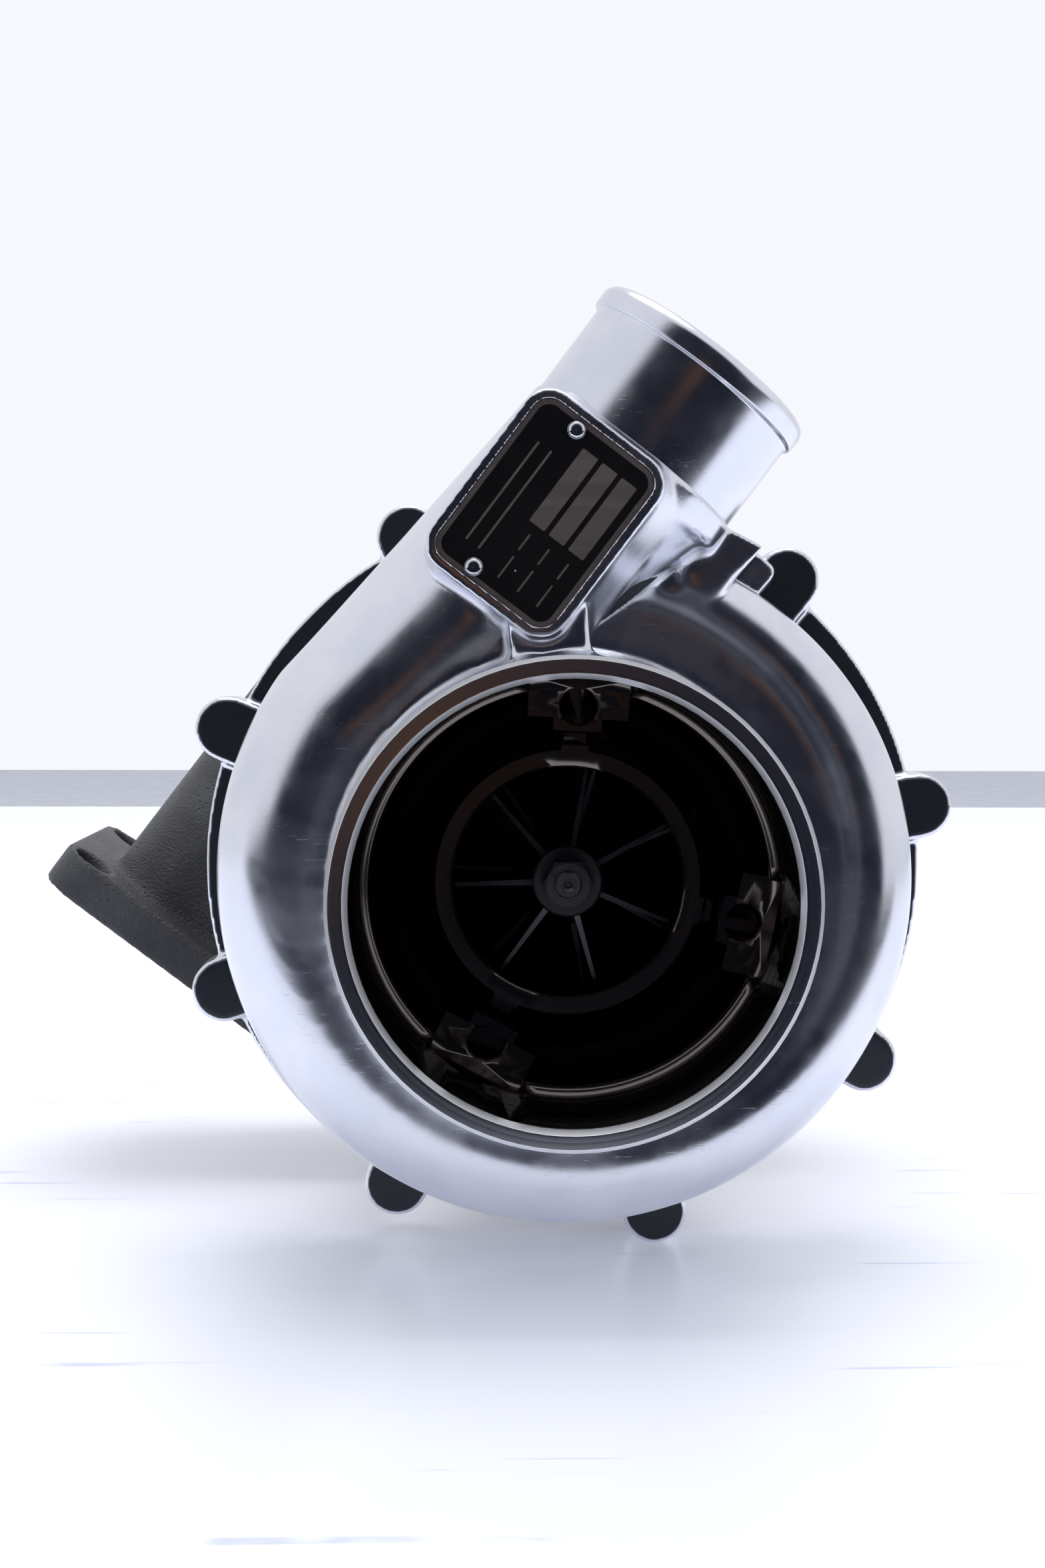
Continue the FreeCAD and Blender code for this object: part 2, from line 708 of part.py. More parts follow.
def turbine_wheel():
    """Radial inflow wheel: blades reach from the rim to the exducer round a conical hub."""
    front, exit_station = size("turbine_front"), size("turbine_exit")

    def hub_path(share):
        return (quarter(size("turbine_radius") - 3, size("turbine_hub_radius"), share, math.sin),
                quarter(front + 1.6, exit_station, share, math.cos))

    def tip_path(share):
        return (quarter(size("turbine_radius"), size("turbine_exit_radius"), share, math.sin),
                quarter(front + size("turbine_tip_width"), exit_station, share, math.cos))

    def sweep(share):
        return 34.0 * share * share

    nose = size("turbine_nose")
    wheel = hub_solid(hub_path, [(size("turbine_hub_radius"), nose - 2),
                                 (size("turbine_hub_radius") - 2, nose), (0, nose),
                                 (0, front), (size("turbine_radius") - 3, front)])
    blades = []
    for number in range(TURBINE_BLADES):
        angle = number * 360.0 / TURBINE_BLADES
        blades.append(blade(hub_path, tip_path, 0.0, sweep, angle, 0.8, 0.55))
    return solid("turbine_wheel", wheel.fuse(blades))


def wheel_locknut():
    """Chamfered hexagon nut on the end of the shaft."""
    prism = doc.addObject("Part::Prism", "nut_prism")
    prism.Polygon = 6
    prism.setExpression("Circumradius", "dims.nut_flats / sqrt(3)")
    prism.setExpression("Height", bound("nose_station - nut_front"))
    prism.Placement = FreeCAD.Placement(SHAFT * size("nut_front"),
                                        FreeCAD.Rotation(Vector(0, 0, 1), SHAFT))
    cone = turned("nut_cone", [
        ("0", "nut_front"), ("nut_face", "nut_front"), ("nut_face + 1.2", "nut_front + 0.9"),
        ("nut_face + 1.2", "nose_station"), ("0", "nose_station")])
    shaped = doc.addObject("Part::Common", "nut_shaped")
    shaped.Base = prism
    shaped.Tool = cone
    hole = rod("nut_hole", "stud_radius", "nose_station - nut_front",
               SHAFT * size("nut_front"), SHAFT)
    return cut("wheel_locknut", shaped, [hole])


def turbine_shaft():
    return turned("turbine_shaft", [
        ("0", "stud_front + 1.4"), ("1.5", "stud_front"), ("stud_radius - 0.4", "stud_front"),
        ("stud_radius", "stud_front + 0.5"), ("stud_radius", "nose_station"),
        ("stub_radius", "nose_station"), ("stub_radius", "collar_back"),
        ("journal_radius", "collar_back"), ("journal_radius", "journal_back"),
        ("seal_hub_radius", "journal_back"), ("seal_hub_radius", "rear_groove_front"),
        ("groove_radius", "rear_groove_front"),
        ("groove_radius", "rear_groove_front + groove_width"),
        ("seal_hub_radius", "rear_groove_front + groove_width"),
        ("seal_hub_radius", "seal_hub_back"), ("0", "seal_hub_back")])


def oil_flinger():
    return turned("oil_flinger", [
        ("stub_radius", "wheel_back"), ("flinger_radius", "wheel_back"),
        ("flinger_radius", "groove_front"), ("groove_radius", "groove_front"),
        ("groove_radius", "groove_front + groove_width"),
        ("flinger_radius", "groove_front + groove_width"), ("flinger_radius", "plate_back"),
        ("flinger_radius + 1.5", "plate_back + 0.8"), ("flinger_radius + 1.5", "flinger_back"),
        ("stub_radius", "flinger_back")])


def thrust_collar():
    return turned("thrust_collar", [
        ("stub_radius", "flinger_back"), ("collar_radius", "flinger_back"),
        ("collar_radius", "collar_front_back"), ("collar_hub", "collar_front_back"),
        ("collar_hub", "collar_rear_front"), ("collar_radius", "collar_rear_front"),
        ("collar_radius", "collar_back"), ("stub_radius", "collar_back")])


# ---- bearings and seals ----------------------------------------------------------------------

def piston_ring(name, front, bore):
    """Split seal ring, sprung into its bore and clear of its groove's floor."""
    ring = turned(name + "_ring", [
        ("groove_radius + 0.4", front + " + 0.1"), (bore, front + " + 0.1"),
        (bore, front + " + groove_width - 0.1"),
        ("groove_radius + 0.4", front + " + groove_width - 0.1")])
    gap = radial_block(name + "_gap", "groove_radius", bore + " + 1", "ring_gap",
                       front, front + " + groove_width", 90.0)
    return cut(name, ring, [gap])


def journal_bearing(name, front):
    """Full floating bush with six radial oil holes."""
    bush = turned(name + "_bush", [
        ("bearing_bore", front), ("bearing_radius", front),
        ("bearing_radius", front + " + bearing_length"),
        ("bearing_bore", front + " + bearing_length")])
    middle = SHAFT * size(front + " + bearing_length - 5")
    holes = [rod("%s_hole_%d" % (name, number), "gallery_radius - 0.6", "bearing_radius + 1",
                 middle, polar(1, number * 60.0)) for number in range(6)]
    return cut(name, bush, holes)


def snap_rings():
    """Four open rings that hold the two floating bearings in place along the bore."""
    width = size("snap_width")
    fronts = [size("front_bearing") - width - 0.2,
              size("front_bearing + bearing_length") + 0.2,
              size("rear_bearing") - width - 0.2,
              size("rear_bearing + bearing_length") + 0.2]
    rings = []
    for front in fronts:
        outer = Part.makeCylinder(size("snap_outer"), width, SHAFT * front, SHAFT)
        inner = Part.makeCylinder(size("snap_inner"), width, SHAFT * front, SHAFT)
        gap = Part.makeBox(6, width, 8, Vector(-3, front, -13))
        rings.append(outer.cut(inner.fuse(gap)))
    return group("bearing_snap_rings", rings)


def thrust_bearing():
    """Open-sided thrust plate held between the collar's two flanges."""
    disc = turned("thrust_disc", [
        ("thrust_bore", "thrust_front"), ("thrust_radius", "thrust_front"),
        ("thrust_radius", "thrust_back"), ("thrust_bore", "thrust_back")])
    slot = radial_block("thrust_mouth", "0", "thrust_radius + 1", "thrust_slot",
                        "thrust_front", "thrust_back", -90.0)
    holes = [rod("thrust_hole_%d" % number, "gallery_radius", "thrust_back - thrust_front",
                 polar(16.0, angle, size("thrust_front")), SHAFT)
             for number, angle in enumerate((30.0, 150.0), start=1)]
    return cut("thrust_bearing", disc, [slot] + holes)


def thrust_pins():
    """Two dowels that keep the thrust plate from turning."""
    length = size("collar_cavity_back + 3 - thrust_front")
    return group("thrust_pins", [
        Part.makeCylinder(size("gallery_radius"), length,
                          polar(16.0, angle, size("thrust_front")), SHAFT)
        for angle in (30.0, 150.0)])


def oring(name, radius, station):
    torus = doc.addObject("Part::Torus", name)
    torus.setExpression("Radius1", bound(radius))
    torus.setExpression("Radius2", bound("oring_radius"))
    torus.Placement = FreeCAD.Placement(SHAFT * size(station),
                                        FreeCAD.Rotation(Vector(0, 0, 1), SHAFT))
    return torus


# ---- centre housing --------------------------------------------------------------------------

def screw_points(circle, count, station, first=0.0):
    return [polar(size(circle), first + number * 360.0 / count, size(station))
            for number in range(count)]


def back_plate():
    plate = turned("back_plate_disc", [
        ("seal_bore", "plate_recess_back"), ("plate_recess", "plate_recess_back"),
        ("plate_recess", "diffuser_back"), ("plate_rim - 0.5", "diffuser_back"),
        ("plate_rim", "diffuser_back + 0.5"), ("plate_rim", "diffuser_back + 3"),
        ("plate_rim - 2.8", "diffuser_back + 3"), ("plate_rim - 2.8", "diffuser_back + 6.2"),
        ("plate_rim", "diffuser_back + 6.2"), ("plate_rim", "plate_back"),
        ("seal_bore", "plate_back")])
    oring_seat = turned("plate_oring_seat", [
        ("plate_recess + 5.2", "plate_back - 2.9"), ("plate_recess + 8.4", "plate_back - 2.9"),
        ("plate_recess + 8.4", "plate_back"), ("plate_recess + 5.2", "plate_back")])
    holes = [rod("plate_tap_%d" % number, "lug_hole_radius", "plate_back - diffuser_back - 1.5",
                 point, -SHAFT)
             for number, point in enumerate(screw_points(
                 "plate_screw_circle", SCREW_COUNT, "plate_back"))]
    return cut("back_plate", plate, [oring_seat] + holes)


def bearing_housing():
    """Centre casting: front flange, neck, rear flange, oil feed boss and drain block."""
    casting = turned("housing_casting", [
        ("seal_bore", "plate_back"), ("housing_flange", "plate_back"),
        ("housing_flange", "housing_flange_back - 1"),
        ("housing_flange - 1", "housing_flange_back"), ("housing_neck + 5", "housing_flange_back"),
        ("housing_neck", "housing_flange_back + 6"), ("housing_neck", "housing_rear_front - 8"),
        ("housing_rear_flange - 9", "housing_rear_front"),
        ("housing_rear_flange", "housing_rear_front"), ("housing_rear_flange", "housing_back"),
        ("seal_bore", "housing_back")])
    void = turned("housing_void", [
        ("0", "plate_back"), ("thrust_cavity", "plate_back"), ("thrust_cavity", "thrust_back"),
        ("collar_cavity", "thrust_back"), ("collar_cavity", "collar_cavity_back"),
        ("housing_bore", "collar_cavity_back"),
        ("housing_bore", "front_bearing - snap_width - 0.2"),
        ("snap_outer", "front_bearing - snap_width - 0.2"), ("snap_outer", "front_bearing - 0.2"),
        ("housing_bore", "front_bearing - 0.2"),
        ("housing_bore", "front_bearing + bearing_length + 0.2"),
        ("snap_outer", "front_bearing + bearing_length + 0.2"),
        ("snap_outer", "front_bearing + bearing_length + 0.2 + snap_width"),
        ("housing_bore", "front_bearing + bearing_length + 0.2 + snap_width"),
        ("housing_bore", "drain_front"), ("drain_cavity", "drain_front"),
        ("drain_cavity", "drain_back"), ("housing_bore", "drain_back"),
        ("housing_bore", "rear_bearing - snap_width - 0.2"),
        ("snap_outer", "rear_bearing - snap_width - 0.2"), ("snap_outer", "rear_bearing - 0.2"),
        ("housing_bore", "rear_bearing - 0.2"),
        ("housing_bore", "rear_bearing + bearing_length + 0.2"),
        ("snap_outer", "rear_bearing + bearing_length + 0.2"),
        ("snap_outer", "rear_bearing + bearing_length + 0.2 + snap_width"),
        ("housing_bore", "rear_bearing + bearing_length + 0.2 + snap_width"),
        ("housing_bore", "housing_bore_back"), ("rear_seal_bore", "housing_bore_back"),
        ("rear_seal_bore", "housing_back"), ("0", "housing_back")])
    up, down = Vector(0, 0, 1), Vector(0, 0, -1)
    station = size("feed_station")
    boss = rod("feed_boss", "feed_boss_radius", "feed_height - 20", Vector(0, station, 20), up)
    block = doc.addObject("Part::Box", "drain_block")
    block.setExpression("Length", bound("drain_width"))
    block.setExpression("Width", bound("drain_depth"))
    block.setExpression("Height", bound("drain_height - 22"))
    block.Placement.Base = Vector(-size("drain_width") / 2, station - size("drain_depth") / 2,
                                  -size("drain_height"))
    removed = [
        void,
        rod("feed_thread", "feed_thread_radius", "feed_thread_depth",
            Vector(0, station, size("feed_height")), down),
        rod("feed_drilling", "gallery_radius + 0.7", "feed_height - feed_gallery",
            Vector(0, station, size("feed_gallery")), up),
        rod("oil_gallery", "gallery_radius", "rear_bearing - front_bearing + 5",
            Vector(0, size("front_bearing") + 3, size("feed_gallery")), SHAFT),
        rod("front_oil_hole", "gallery_radius - 0.3", "feed_gallery - 9",
            Vector(0, size("front_bearing") + 5, 9), up),
        rod("rear_oil_hole", "gallery_radius - 0.3", "feed_gallery - 9",
            Vector(0, size("rear_bearing") + 5, 9), up),
        rod("drain_bore", "drain_radius", "drain_height",
            Vector(0, station, -size("drain_height")), up)]
    for side in (-1, 1):
        start = Vector(side * size("drain_bolt_offset"), station, -size("drain_height"))
        removed.append(rod("drain_bolt_%d" % (side + 2), "drain_bolt_radius",
                           "drain_bolt_depth", start, up))
    for number, point in enumerate(screw_points("plate_screw_circle", SCREW_COUNT, "plate_back")):
        removed.append(rod("housing_hole_%d" % number, "lug_hole_radius",
                           "housing_flange_back - plate_back", point, SHAFT))
    for number, angle in enumerate((30.0, 150.0)):
        removed.append(rod("dowel_hole_%d" % number, "gallery_radius",
                           "collar_cavity_back + 3 - thrust_back",
                           polar(16.0, angle, size("thrust_back")), SHAFT))
    return cut("bearing_housing", fused("housing_body", [casting, boss, block]), removed)


def heat_shield():
    """Dished sheet between the bearing housing and the turbine wheel, clamped at its rim."""
    return turned("heat_shield", [
        ("shield_bore", "housing_back + 1.6"), ("turbine_radius - 2", "housing_back + 1.6"),
        ("turbine_radius + 2", "housing_back"), ("shield_radius", "housing_back"),
        ("shield_radius", "housing_back + shield_thickness"),
        ("turbine_radius + 2.4", "housing_back + shield_thickness"),
        ("turbine_radius - 1.6", "housing_back + shield_thickness + 1.6"),
        ("shield_bore", "housing_back + shield_thickness + 1.6")])


# ---- turbine housing -------------------------------------------------------------------------

def volute_wire(turn, wall):
    """Round section of the turbine volute after a clockwise turn from its inlet."""
    radius = size("volute_radius") * math.sqrt(1 - turn / 400.0)
    centre_radius = size("volute_root") + radius
    station = size("volute_front") + radius
    angle = size("exit_angle") - turn
    return ellipse_wire(polar(centre_radius, angle, station), radius + wall + 0.01,
                        radius + wall, -SHAFT, polar(1, angle - 90.0))


def inlet_duct(length, depth, corner, wall, start):
    """Duct from the foot, along the outlet's direction, to the volute's first section."""
    radius = size("volute_radius") + wall
    wires = [
        rounded_rectangle(outlet_point(start, size("foot_across") + 1.5, size("foot_station")),
                          outlet_side, SHAFT, length, depth, corner),
        rounded_rectangle(outlet_point(2.0, size("volute_root") + size("volute_radius"),
                                       size("volute_front") + size("volute_radius")),
                          outlet_side, SHAFT, 2 * radius, 2 * radius, radius - 1.0)]
    return Part.makeLoft(wires, True)


def foot_holes():
    """Centres of the foot's four bolt holes, on its machined face."""
    return [outlet_point(-size("foot_distance"), size("foot_across") + along,
                         size("foot_station") + deep)
            for along in (size("foot_hole_along"), -size("foot_hole_along"))
            for deep in (-size("foot_hole_deep"), size("foot_hole_deep"))]


def turbine_bolt_points():
    """Centres of the turbine clamp bolts, on the housing's front face."""
    return screw_points("turbine_bolt_circle", TURBINE_BOLT_COUNT, "housing_rear_front",
                        size("turbine_bolt_first"))


def turbine_housing():
    core = turned("turbine_core", [
        ("outlet_throat - 4", "housing_rear_front"), ("turbine_flange", "housing_rear_front"),
        ("turbine_flange", "turbine_flange_back"), ("volute_root + 12", "turbine_flange_back + 4"),
        ("volute_root + 8", "turbine_back - 24"), ("downpipe_radius", "turbine_back - 12"),
        ("downpipe_radius", "band_front - 2"), ("band_radius", "band_front"),
        ("band_radius", "turbine_back - 2"), ("band_radius - 3", "turbine_back"),
        ("outlet_throat - 4", "turbine_back")])
    void = turned("turbine_void", [
        ("0", "housing_rear_front"), ("housing_rear_flange + 0.1", "housing_rear_front"),
        ("housing_rear_flange + 0.1", "housing_back"), ("shield_radius + 0.1", "housing_back"),
        ("shield_radius + 0.1", "housing_back + shield_thickness"),
        ("turbine_ledge", "housing_back + shield_thickness"), ("turbine_ledge", "volute_front - 2"),
        ("volute_root + 8", "volute_front - 2"), ("volute_root + 8", "turbine_slot_back"),
        ("turbine_radius + 0.6", "turbine_slot_back"),
        ("turbine_radius - 2.4", "turbine_slot_back + 3"),
        ("turbine_radius - 4", "turbine_slot_back + 8"), ("outlet_throat", "turbine_exit - 2"),
        ("outlet_throat", "turbine_exit + 4"), ("downpipe_bore", "turbine_back - 8"),
        ("downpipe_bore", "turbine_back"), ("0", "turbine_back")])
    shell = solid("volute_shell", Part.makeLoft(
        [volute_wire(turn, size("volute_wall")) for turn in range(0, 301, 30)], True))
    passage = solid("volute_passage", Part.makeLoft(
        [volute_wire(turn, 0.0) for turn in range(0, 301, 30)], True))
    neck_top = size("foot_distance") - 4
    neck = solid("inlet_neck", inlet_duct(size("neck_length"), size("neck_depth"), 16.0,
                                          size("volute_wall"), -neck_top))
    duct = solid("inlet_passage", inlet_duct(size("port_length"), size("port_depth"),
                                             size("port_corner"), 0.0, -size("foot_distance")))
    foot_wire = rounded_rectangle(
        outlet_point(-size("foot_distance"), size("foot_across"), size("foot_station")),
        outlet_side, SHAFT, size("foot_length"), size("foot_depth"), size("foot_corner"))
    foot = solid("foot_plate",
                 Part.Face(foot_wire).extrude(outlet_way * size("foot_thickness")))
    removed = [void, passage, duct]
    for number, point in enumerate(foot_holes()):
        face = point + outlet_way * size("foot_thickness")
        removed.append(rod("foot_hole_%d" % number, "foot_hole_radius", "foot_thickness",
                           point, outlet_way))
        removed.append(rod("spot_face_%d" % number, "spot_face_radius", "foot_thickness + 4",
                           face, outlet_way))
    for number, point in enumerate(turbine_bolt_points()):
        removed.append(rod("turbine_tap_%d" % number, "turbine_bolt_radius",
                           "turbine_tap_depth", point, SHAFT))
    casting = fused("turbine_casting", [core, shell, neck, foot])
    return cut("turbine_housing", casting, removed)


# ---- clamps and screws -----------------------------------------------------------------------

def arc_plate(inner, outer, thickness, first, last, station):
    """Flat plate between two radii and two angles."""
    middle = (first + last) / 2
    rings = []
    for radius in (inner, outer):
        rings.append(Part.Arc(polar(radius, first, station), polar(radius, middle, station),
                              polar(radius, last, station)).toShape())
    sides = [Part.makeLine(polar(inner, angle, station), polar(outer, angle, station))
             for angle in (first, last)]
    face = Part.Face(Part.Wire(Part.__sortEdges__(rings + sides)))
    return face.extrude(SHAFT * thickness)


def lug_angle(number):
    return size("lug_first") - number * size("lug_step")


def compressor_clamps():
    """Eight small plates, each bridging one lug and the back plate's rim."""
    thickness, back = size("clamp_thickness"), size("cover_back")
    radius = size("clamp_radius")
    plates = []
    for number in range(LUG_COUNT):
        turn = about_shaft(lug_angle(number))
        centre = polar(size("lug_circle"), lug_angle(number), back)
        bar = Part.makeBox(size("lug_circle - clamp_inner"), thickness, 2 * radius)
        bar.Placement = FreeCAD.Placement(
            turn.multVec(Vector(size("clamp_inner"), back, -radius)), turn)
        end = Part.makeCylinder(radius, thickness, centre, SHAFT)
        hole = Part.makeCylinder(size("lug_hole_radius"), thickness, centre, SHAFT)
        plates.append(bar.fuse(end).removeSplitter().cut(hole))
    return group("compressor_clamps", plates)


def placed_bolts(name, bolt, points, flip):
    """Copies of one bolt at several points; flip turns its head towards -Y."""
    turn = FreeCAD.Rotation(Vector(1, 0, 0), 180 if flip else 0)
    copies = []
    for point in points:
        copy = bolt.copy()
        copy.Placement = FreeCAD.Placement(point, turn)
        copies.append(copy)
    return group(name, copies)


def cover_bolts():
    bolt = hex_bolt(size("nut_flats") / math.sqrt(3), size("bolt_head_height"),
                    size("lug_hole_radius"), size("clamp_thickness + lug_hole_depth - 1"))
    seat = size("cover_back + clamp_thickness")
    points = [polar(size("lug_circle"), lug_angle(number), seat) for number in range(LUG_COUNT)]
    return placed_bolts("cover_bolts", bolt, points, False)


def back_plate_screws():
    bolt = hex_bolt(size("nut_flats") / math.sqrt(3), size("bolt_head_height"),
                    size("lug_hole_radius"), size("housing_flange_back - diffuser_back - 2.5"))
    points = screw_points("plate_screw_circle", SCREW_COUNT, "housing_flange_back")
    return placed_bolts("back_plate_screws", bolt, points, False)


def turbine_clamps():
    """Three arc plates, each under two bolts, over the bearing housing's rear flange."""
    thickness = size("turbine_clamp_thickness")
    front = size("housing_rear_front") - thickness
    step = 360.0 / TURBINE_BOLT_COUNT
    plates = []
    for number in range(0, TURBINE_BOLT_COUNT, 2):
        first = size("turbine_bolt_first") + number * step
        plate = arc_plate(size("turbine_clamp_inner"), size("turbine_clamp_outer"), thickness,
                          first - 14.0, first + step + 14.0, front)
        for angle in (first, first + step):
            centre = polar(size("turbine_bolt_circle"), angle, front)
            plate = plate.cut(Part.makeCylinder(size("turbine_bolt_radius"), thickness,
                                                centre, SHAFT))
        plates.append(plate)
    return group("turbine_clamps", plates)


def turbine_bolts():
    thickness = size("turbine_clamp_thickness")
    length = thickness + size("turbine_tap_depth") - 0.8
    bolt = hex_bolt(size("turbine_bolt_flats") / math.sqrt(3), size("turbine_bolt_head"),
                    size("turbine_bolt_radius"), length)
    points = [point - SHAFT * thickness for point in turbine_bolt_points()]
    return placed_bolts("turbine_bolts", bolt, points, True)


# ---- assembly --------------------------------------------------------------------------------

node("compressor_cover", compressor_cover())
node("nameplate", nameplate())
node("nameplate_rivets", nameplate_rivets())
node("compressor_wheel", compressor_wheel())
node("wheel_locknut", wheel_locknut())
node("turbine_shaft", turbine_shaft())
node("oil_flinger", oil_flinger())
node("thrust_collar", thrust_collar())
node("turbine_wheel", turbine_wheel())
node("back_plate", back_plate())
node("cover_oring", oring("cover_oring", "plate_rim - 1.35", "diffuser_back + 4.6"))
node("back_plate_oring", oring("back_plate_oring", "plate_recess + 6.8", "plate_back - 1.45"))
node("back_plate_screws", back_plate_screws())
node("compressor_clamps", compressor_clamps())
node("cover_bolts", cover_bolts())
node("bearing_housing", bearing_housing())
node("thrust_bearing", thrust_bearing())
node("thrust_pins", thrust_pins())
node("front_journal_bearing", journal_bearing("front_journal_bearing", "front_bearing"))
node("rear_journal_bearing", journal_bearing("rear_journal_bearing", "rear_bearing"))
node("bearing_snap_rings", snap_rings())
node("compressor_piston_ring", piston_ring("compressor_piston_ring", "groove_front", "seal_bore"))
node("turbine_piston_ring", piston_ring("turbine_piston_ring", "rear_groove_front",
                                        "rear_seal_bore"))
node("heat_shield", heat_shield())
node("turbine_housing", turbine_housing())
node("turbine_clamps", turbine_clamps())
node("turbine_bolts", turbine_bolts())

doc.recompute()

for item in doc.Objects:
    if "Invalid" in item.State or "Error" in item.State:
        raise RuntimeError("feature failed: " + item.Label)
for part in NODES:
    if part.Shape.isNull() or not part.Shape.isValid():
        raise RuntimeError("bad shape: " + part.Label)

# Points in the air passages, which have to be clear of their casting.
PASSAGES = {
    "compressor_cover": [
        outlet_point(size("outlet_end") - 2, size("outlet_offset"), size("outlet_station")),
        outlet_point(size("outlet_shoulder"), size("outlet_offset"), size("outlet_station")),
        outlet_point(30.0, size("crest_radius"), size("outlet_station")),
        polar(size("crest_radius"), -60.0, size("passage_back") - 10)],
    "turbine_housing": [
        outlet_point(-size("foot_distance") + 2, size("foot_across"), size("foot_station")),
        polar(size("volute_root + volute_radius"), 100.0, size("volute_front + volute_radius")),
        polar(0, 0, size("turbine_back - 5"))]}
for part in NODES:
    for point in PASSAGES.get(part.Label, []):
        if part.Shape.isInside(point, 0.01, True):
            raise RuntimeError("a passage is closed in " + part.Label)

os.makedirs("parts", exist_ok=True)
for part in NODES:
    part.Shape.exportStep(os.path.join("parts", part.Label + ".step"))
    box = part.Shape.BoundBox
    print("%-24s solids %2d  volume %10.1f  y %.1f to %.1f  z %.1f to %.1f" % (
        part.Label, len(part.Shape.Solids), part.Shape.Volume, box.YMin, box.YMax,
        box.ZMin, box.ZMax))
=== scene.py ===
import math

import bmesh
import bpy
import numpy as np
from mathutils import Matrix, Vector


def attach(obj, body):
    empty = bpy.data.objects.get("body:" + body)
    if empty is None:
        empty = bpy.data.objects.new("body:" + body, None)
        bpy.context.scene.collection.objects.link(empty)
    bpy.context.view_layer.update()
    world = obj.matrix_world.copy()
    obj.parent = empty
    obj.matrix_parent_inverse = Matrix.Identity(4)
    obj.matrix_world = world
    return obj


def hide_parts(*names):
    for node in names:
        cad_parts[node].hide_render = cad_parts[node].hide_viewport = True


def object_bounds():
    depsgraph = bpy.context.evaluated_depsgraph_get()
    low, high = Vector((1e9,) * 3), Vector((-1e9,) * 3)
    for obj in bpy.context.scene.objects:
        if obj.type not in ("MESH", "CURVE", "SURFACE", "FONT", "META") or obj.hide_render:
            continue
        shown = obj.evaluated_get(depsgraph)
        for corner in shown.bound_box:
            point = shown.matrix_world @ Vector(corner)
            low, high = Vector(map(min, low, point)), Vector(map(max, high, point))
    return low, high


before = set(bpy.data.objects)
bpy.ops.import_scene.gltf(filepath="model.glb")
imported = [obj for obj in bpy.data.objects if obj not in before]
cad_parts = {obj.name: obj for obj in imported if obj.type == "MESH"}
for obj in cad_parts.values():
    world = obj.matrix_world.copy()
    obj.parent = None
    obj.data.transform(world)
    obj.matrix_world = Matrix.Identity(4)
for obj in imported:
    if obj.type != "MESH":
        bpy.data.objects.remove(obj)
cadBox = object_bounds()
mm = 0.001
shaft = Vector((0, 1, 0))  # the rotor's axis; stations are measured along it from the inlet's rim


# Shape helpers. They take millimetres and leave meshes in metres.

def polar(radius, angle, station=0.0):
    turn = math.radians(angle)
    return Vector((radius * math.cos(turn), station, radius * math.sin(turn)))


def makePiece(name, points, faces):
    mesh = bpy.data.meshes.new(name)
    mesh.from_pydata([point * mm for point in points], [], faces)
    piece = bpy.data.objects.new(name, mesh)
    bpy.context.scene.collection.objects.link(piece)
    build = bmesh.new()
    build.from_mesh(mesh)
    bmesh.ops.remove_doubles(build, verts=build.verts, dist=1e-7)
    bmesh.ops.recalc_face_normals(build, faces=build.faces)
    build.to_mesh(mesh)
    build.free()
    return piece


def loft(name, loops, closed=False):
    count = len(loops[0])
    points = [point for loop in loops for point in loop]
    faces = []
    for row in range(len(loops) if closed else len(loops) - 1):
        low, high = row * count, (row + 1) % len(loops) * count
        for step in range(count):
            after = (step + 1) % count
            faces.append((low + step, low + after, high + after, high + step))
    if not closed:
        faces.append(tuple(range(count)))
        faces.append(tuple(range(len(points) - count, len(points))))
    return makePiece(name, points, faces)


def lathe(name, outline, steps=256, axis=shaft, centre=Vector()):
    turn = shaft.rotation_difference(axis)
    loops = []
    for step in range(steps):
        angle = 360 * step / steps
        loops.append([centre + turn @ polar(radius, angle, station) for radius, station in outline])
    return loft(name, loops, closed=True)


def prism(name, loop, direction):
    return loft(name, [loop, [point + direction for point in loop]])


def arc(centre, radius, first, last, steps=8):
    points = []
    for step in range(steps + 1):
        turn = math.radians(first + (last - first) * step / steps)
        points.append((centre[0] + radius * math.cos(turn), centre[1] + radius * math.sin(turn)))
    return points


def roundedLoop(centre, along, across, length, width, corner, steps=8):
    x, y = length / 2 - corner, width / 2 - corner
    outline = (arc((x, y), corner, 0, 90, steps) + arc((-x, y), corner, 90, 180, steps)
               + arc((-x, -y), corner, 180, 270, steps) + arc((x, -y), corner, 270, 360, steps))
    return [centre + along * u + across * v for u, v in outline]


def copyNode(name, node):
    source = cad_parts[node].data
    build = bmesh.new()
    build.from_mesh(source)
    bmesh.ops.remove_doubles(build, verts=build.verts, dist=1e-6)
    mesh = bpy.data.meshes.new(name)
    build.to_mesh(mesh)
    build.free()
    piece = bpy.data.objects.new(name, mesh)
    bpy.context.scene.collection.objects.link(piece)
    return piece


def settle(piece):
    graph = bpy.context.evaluated_depsgraph_get()
    mesh = bpy.data.meshes.new_from_object(piece.evaluated_get(graph))
    piece.modifiers.clear()
    piece.data = mesh
    return piece


def merge(name, parts):
    build = bmesh.new()
    for part in parts:
        build.from_mesh(part.data)
        bpy.data.objects.remove(part)
    mesh = bpy.data.meshes.new(name)
    build.to_mesh(mesh)
    build.free()
    piece = bpy.data.objects.new(name, mesh)
    bpy.context.scene.collection.objects.link(piece)
    return piece


def boolean(piece, tool, operation="DIFFERENCE"):
    modifier = piece.modifiers.new("cut", "BOOLEAN")
    modifier.operation = operation
    modifier.solver = "EXACT"
    modifier.object = tool
    settle(piece)
    bpy.data.objects.remove(tool)
    return piece


def positions(piece):
    flat = np.zeros(len(piece.data.vertices) * 3)
    piece.data.vertices.foreach_get("co", flat)
    return flat.reshape(-1, 3) / mm


